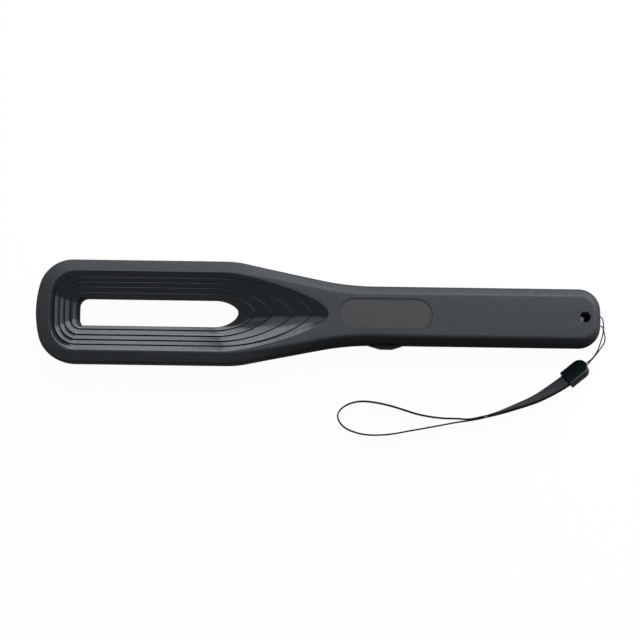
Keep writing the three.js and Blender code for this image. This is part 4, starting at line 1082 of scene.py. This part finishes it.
def make_screw():
    seat = WELL_FLOOR + FIT
    pairs = [(0, seat - SCREW_LENGTH), (SCREW_RADIUS, seat - SCREW_LENGTH + SCREW_RADIUS), (SCREW_RADIUS, seat)]
    pairs += [(SCREW_HEAD, seat), (SCREW_HEAD, seat + SCREW_HEIGHT * HEAD_RIM)]
    for share in DOME_SHARES:
        turn = share * pi / 2
        pairs.append((SCREW_HEAD * cos(turn), seat + SCREW_HEIGHT * mix(HEAD_RIM, 1, sin(turn))))
    pairs.append((0, seat + SCREW_HEIGHT))
    head = turned_object("well_screw", WELL_X, pairs)
    top, low = seat + SCREW_HEIGHT + OVERRUN, seat + SCREW_HEIGHT - CROSS_DEPTH
    arms = [
        block_at(WELL_X, 0, length, width, low, top)
        for length, width in ((2 * CROSS_REACH, CROSS_WIDTH), (CROSS_WIDTH, 2 * CROSS_REACH))
    ]
    centre = Matrix.Translation((WELL_X * MM, 0, 0))
    for arm in arms:
        arm.data.transform(centre @ Matrix.Rotation(CROSS_TURN, 4, "Z") @ centre.inverted())
    combine(head, arms, "DIFFERENCE")
    finish_piece(smooth(head), "housing_screw", "steel_screw", screw_dark)


make_screw()


# Side button

# The post that presses the switch: how far it stands out, its length, and its lowest and highest level
POST_REACH, POST_LENGTH, POST_LOW, POST_HIGH = 0.5, 5.0, 10.9, 15.4


def make_button():
    x, low, high = GRIP_START + BUTTON_CENTRE, MID - BUTTON_HEIGHT / 2, MID + BUTTON_HEIGHT / 2
    base, crown, shift = BUTTON_BASE / 2, BUTTON_TOP / 2, BUTTON_SHIFT
    seat, face = -INNER + FIT, -GRIP_HALF
    outline = [
        (x - base, seat), (x - base, face), (x - crown + shift, face - BUTTON_PROUD),
        (x + crown + shift, face - BUTTON_PROUD), (x + base, face), (x + base, seat),
    ]
    body = bevelled(raised_object("button_cap", outline, [(0, low), (0, high)]), width=0.5, segments=4, angle=20)
    lip, run = BUTTON_LIP, BUTTON_FLANGE + POST_REACH
    flange = block_at(x, seat + BUTTON_FLANGE / 2, BUTTON_BASE + 2 * lip, BUTTON_FLANGE, low - lip, high + lip)
    post = block_at(x, seat + run / 2, POST_LENGTH, run, POST_LOW, POST_HIGH)
    combine(body, [flange, post], "UNION")
    finish_piece(smooth(body), "side_button", "button_plastic", button_rubber, body="side_button")


make_button()


# Slide knob with a ribbed pad

KNOB_RIBS, RIB_PITCH, RIB_DEPTH, RIB_WIDTH = 5, 1.25, 0.35, 0.55
FLANGE_LENGTH, FLANGE_WIDTH, KNOB_FLANGE, STEM_START = 9.2, 4.4, 0.7, 0.1


def make_knob():
    x = GRIP_START + SLIDER_CENTRE
    top = PAD_INSET + PAD_HEIGHT
    pad = bevelled(block_at(x, 0, PAD_LENGTH, PAD_WIDTH, PAD_INSET, top), width=0.3)
    grooves = []
    for i in range(KNOB_RIBS):
        at = x + (i - (KNOB_RIBS - 1) / 2) * RIB_PITCH
        grooves.append(block_at(at, 0, RIB_WIDTH, PAD_WIDTH + OVERRUN, -OVERRUN, PAD_INSET + RIB_DEPTH))
    combine(pad, grooves, "DIFFERENCE")
    low = POCKET_DEPTH + POCKET_FLOOR + FIT
    stem = block_at(x, 0, STEM_LENGTH, STEM_WIDTH, PAD_INSET + RIB_DEPTH + STEM_START, low + KNOB_FLANGE)
    flange = block_at(x, 0, FLANGE_LENGTH, FLANGE_WIDTH, low, low + KNOB_FLANGE)
    combine(pad, [stem, flange], "UNION")
    finish_piece(smooth(pad), "slide_knob", "knob_plastic", button_rubber, body="slide_knob")


make_knob()


# Lamps

BOARD_LIFT = 6.4
LENS_TOP = ROOF + BOARD_LIFT - FIT
LENS_STEPS, COLLAR_RADIUS, COLLAR_HEIGHT = 8, 2.9, 1.0
LAMPS = (
    ("power_lamp", "green_lens", (0.03, 0.36, 0.08)),
    ("alarm_lamp", "red_lens", (0.5, 0.02, 0.015)),
    ("battery_lamp", "amber_lens", (0.62, 0.3, 0.01)),
)


def make_lamps():
    base, collar = LAMP_INSET + LAMP_RADIUS, LENS_TOP - COLLAR_HEIGHT
    pairs = [(0, LAMP_INSET)]
    for k in range(1, LENS_STEPS + 1):
        turn = k / LENS_STEPS * pi / 2
        pairs.append((LAMP_RADIUS * sin(turn), base - LAMP_RADIUS * cos(turn)))
    pairs += [(LAMP_RADIUS, collar), (COLLAR_RADIUS, collar), (COLLAR_RADIUS, LENS_TOP), (0, LENS_TOP)]
    for i, (node, slot_name, color) in enumerate(LAMPS):
        lens = turned_object(node + "_lens", lamp_x(i), pairs)
        tint = surface(slot_name + "_tint", color, 0.12, grain=(1.2, 0.002), mottle=(1.5, 0.08), coat=0.3)
        finish_piece(smooth(lens), node, slot_name, tint)


make_lamps()


# Clip: a flattened block with one round end, hollow from its mouth

CLIP_ARC_STEPS, CLIP_BEVEL_STEPS = 32, 6
# A painted highlight lies on the edge between the face up and the side that leans up
HIGHLIGHT_ACROSS, HIGHLIGHT_OUT = 0.2, (0.2, 0.97)


def clip_outline(inset):
    """The clip's broad outline in its own directions, drawn in by an inset."""
    half, side = CLIP_LENGTH / 2, CLIP_WIDTH / 2 - inset
    round_x, bend = half - CLIP_ROUND, CLIP_ROUND - inset
    points = [(-half + inset, -side)]
    for i in range(CLIP_ARC_STEPS + 1):
        turn = -pi / 2 + pi * i / CLIP_ARC_STEPS
        points.append((round_x + bend * cos(turn), side * sin(turn)))
    points.append((-half + inset, side))
    return points


def make_clip():
    rows = []
    for end in (-1, 1):
        for i in range(CLIP_BEVEL_STEPS + 1):
            share = i / CLIP_BEVEL_STEPS
            turn = pi / 2 * (share if end < 0 else 1 - share)
            inset = CLIP_BEVEL * (1 - sin(turn))
            out = end * (CLIP_HEIGHT / 2 - CLIP_BEVEL * (1 - cos(turn)))
            rows.append([(along, across, out) for along, across in clip_outline(inset)])
    body = loft_object("clip_body", rows)
    paint(body, clip_black, clip_edge_highlight)
    # Faces on that edge get the painted highlight
    for face in body.data.polygons:
        across, out = face.normal.y, -face.normal.z
        face.material_index = 1 if across > HIGHLIGHT_ACROSS and HIGHLIGHT_OUT[0] < out < HIGHLIGHT_OUT[1] else 0
    half, bore_side, hole_side = CLIP_LENGTH / 2, BORE_WIDTH / 2, HOLE_WIDTH / 2
    bore = block((-half - OVERRUN, -bore_side, -BORE_HEIGHT / 2), (half - BORE_END, bore_side, BORE_HEIGHT / 2))
    hole = block((0, -hole_side, -HOLE_HEIGHT / 2), (half + OVERRUN, hole_side, HOLE_HEIGHT / 2))
    combine(body, [bevelled(bore, width=0.5), bevelled(hole, width=0.4)], "DIFFERENCE")
    place = Matrix((CLIP_ALONG, CLIP_ACROSS, CLIP_OUT)).transposed().to_4x4()
    body.data.transform(Matrix.Translation(CLIP_CENTRE * MM) @ place)
    finish_piece(smooth(body, angle=40), "strap_clip", "clip_plastic")


make_clip()


# Nodes that keep the shape they have in the frame: their finish, colour, roughness, grain, mottle and the rest

METAL, COAT = {"metallic": 1.0}, {"coat": 0.2}
INNER_FINISHES = (
    ("coil_former", "former_natural", (0.62, 0.6, 0.52), 0.55, (0.6, 0.02), (2.0, 0.06), {}),
    ("search_coil", "coil_copper", (0.55, 0.2, 0.07), 0.3, (0.35, 0.05), (0.6, 0.15), METAL),
    ("circuit_board charge_board", "board_laminate", (0.012, 0.11, 0.04), 0.4, (0.7, 0.01), (2.5, 0.15), COAT),
    (
        "board_screw_1 board_screw_2 board_screw_3",
        "screw_steel", (0.52, 0.53, 0.54), 0.32, (0.3, 0.004), (0.8, 0.08), METAL,
    ),
    ("buzzer button_switch cell_cradle", "inner_black", (0.02, 0.02, 0.021), 0.5, (0.5, 0.015), (1.5, 0.1), {}),
    (
        "vibration_motor slide_switch charge_socket",
        "steel_can", (0.6, 0.6, 0.58), 0.3, (0.4, 0.004), (1.5, 0.08), METAL,
    ),
    ("lithium_cell", "cell_sleeve", (0.03, 0.16, 0.33), 0.35, (1.0, 0.01), (3.0, 0.06), COAT),
    ("cell_pad", "pad_foam", (0.08, 0.08, 0.075), 0.95, (0.4, 0.15), (0.6, 0.2), {}),
    ("coil_lead", "lead_grey", (0.03, 0.03, 0.032), 0.45, (0.8, 0.01), (1.5, 0.1), {}),
    ("cell_lead charge_lead", "lead_red", (0.25, 0.015, 0.012), 0.45, (0.8, 0.01), (1.5, 0.1), {}),
)

for names, finish, color, roughness, grain, mottle, rest in INNER_FINISHES:
    inner = surface(finish, color, roughness, grain=grain, mottle=mottle, **rest)
    for name in names.split():
        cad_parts[name].data.materials.clear()
        paint(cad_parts[name], inner)
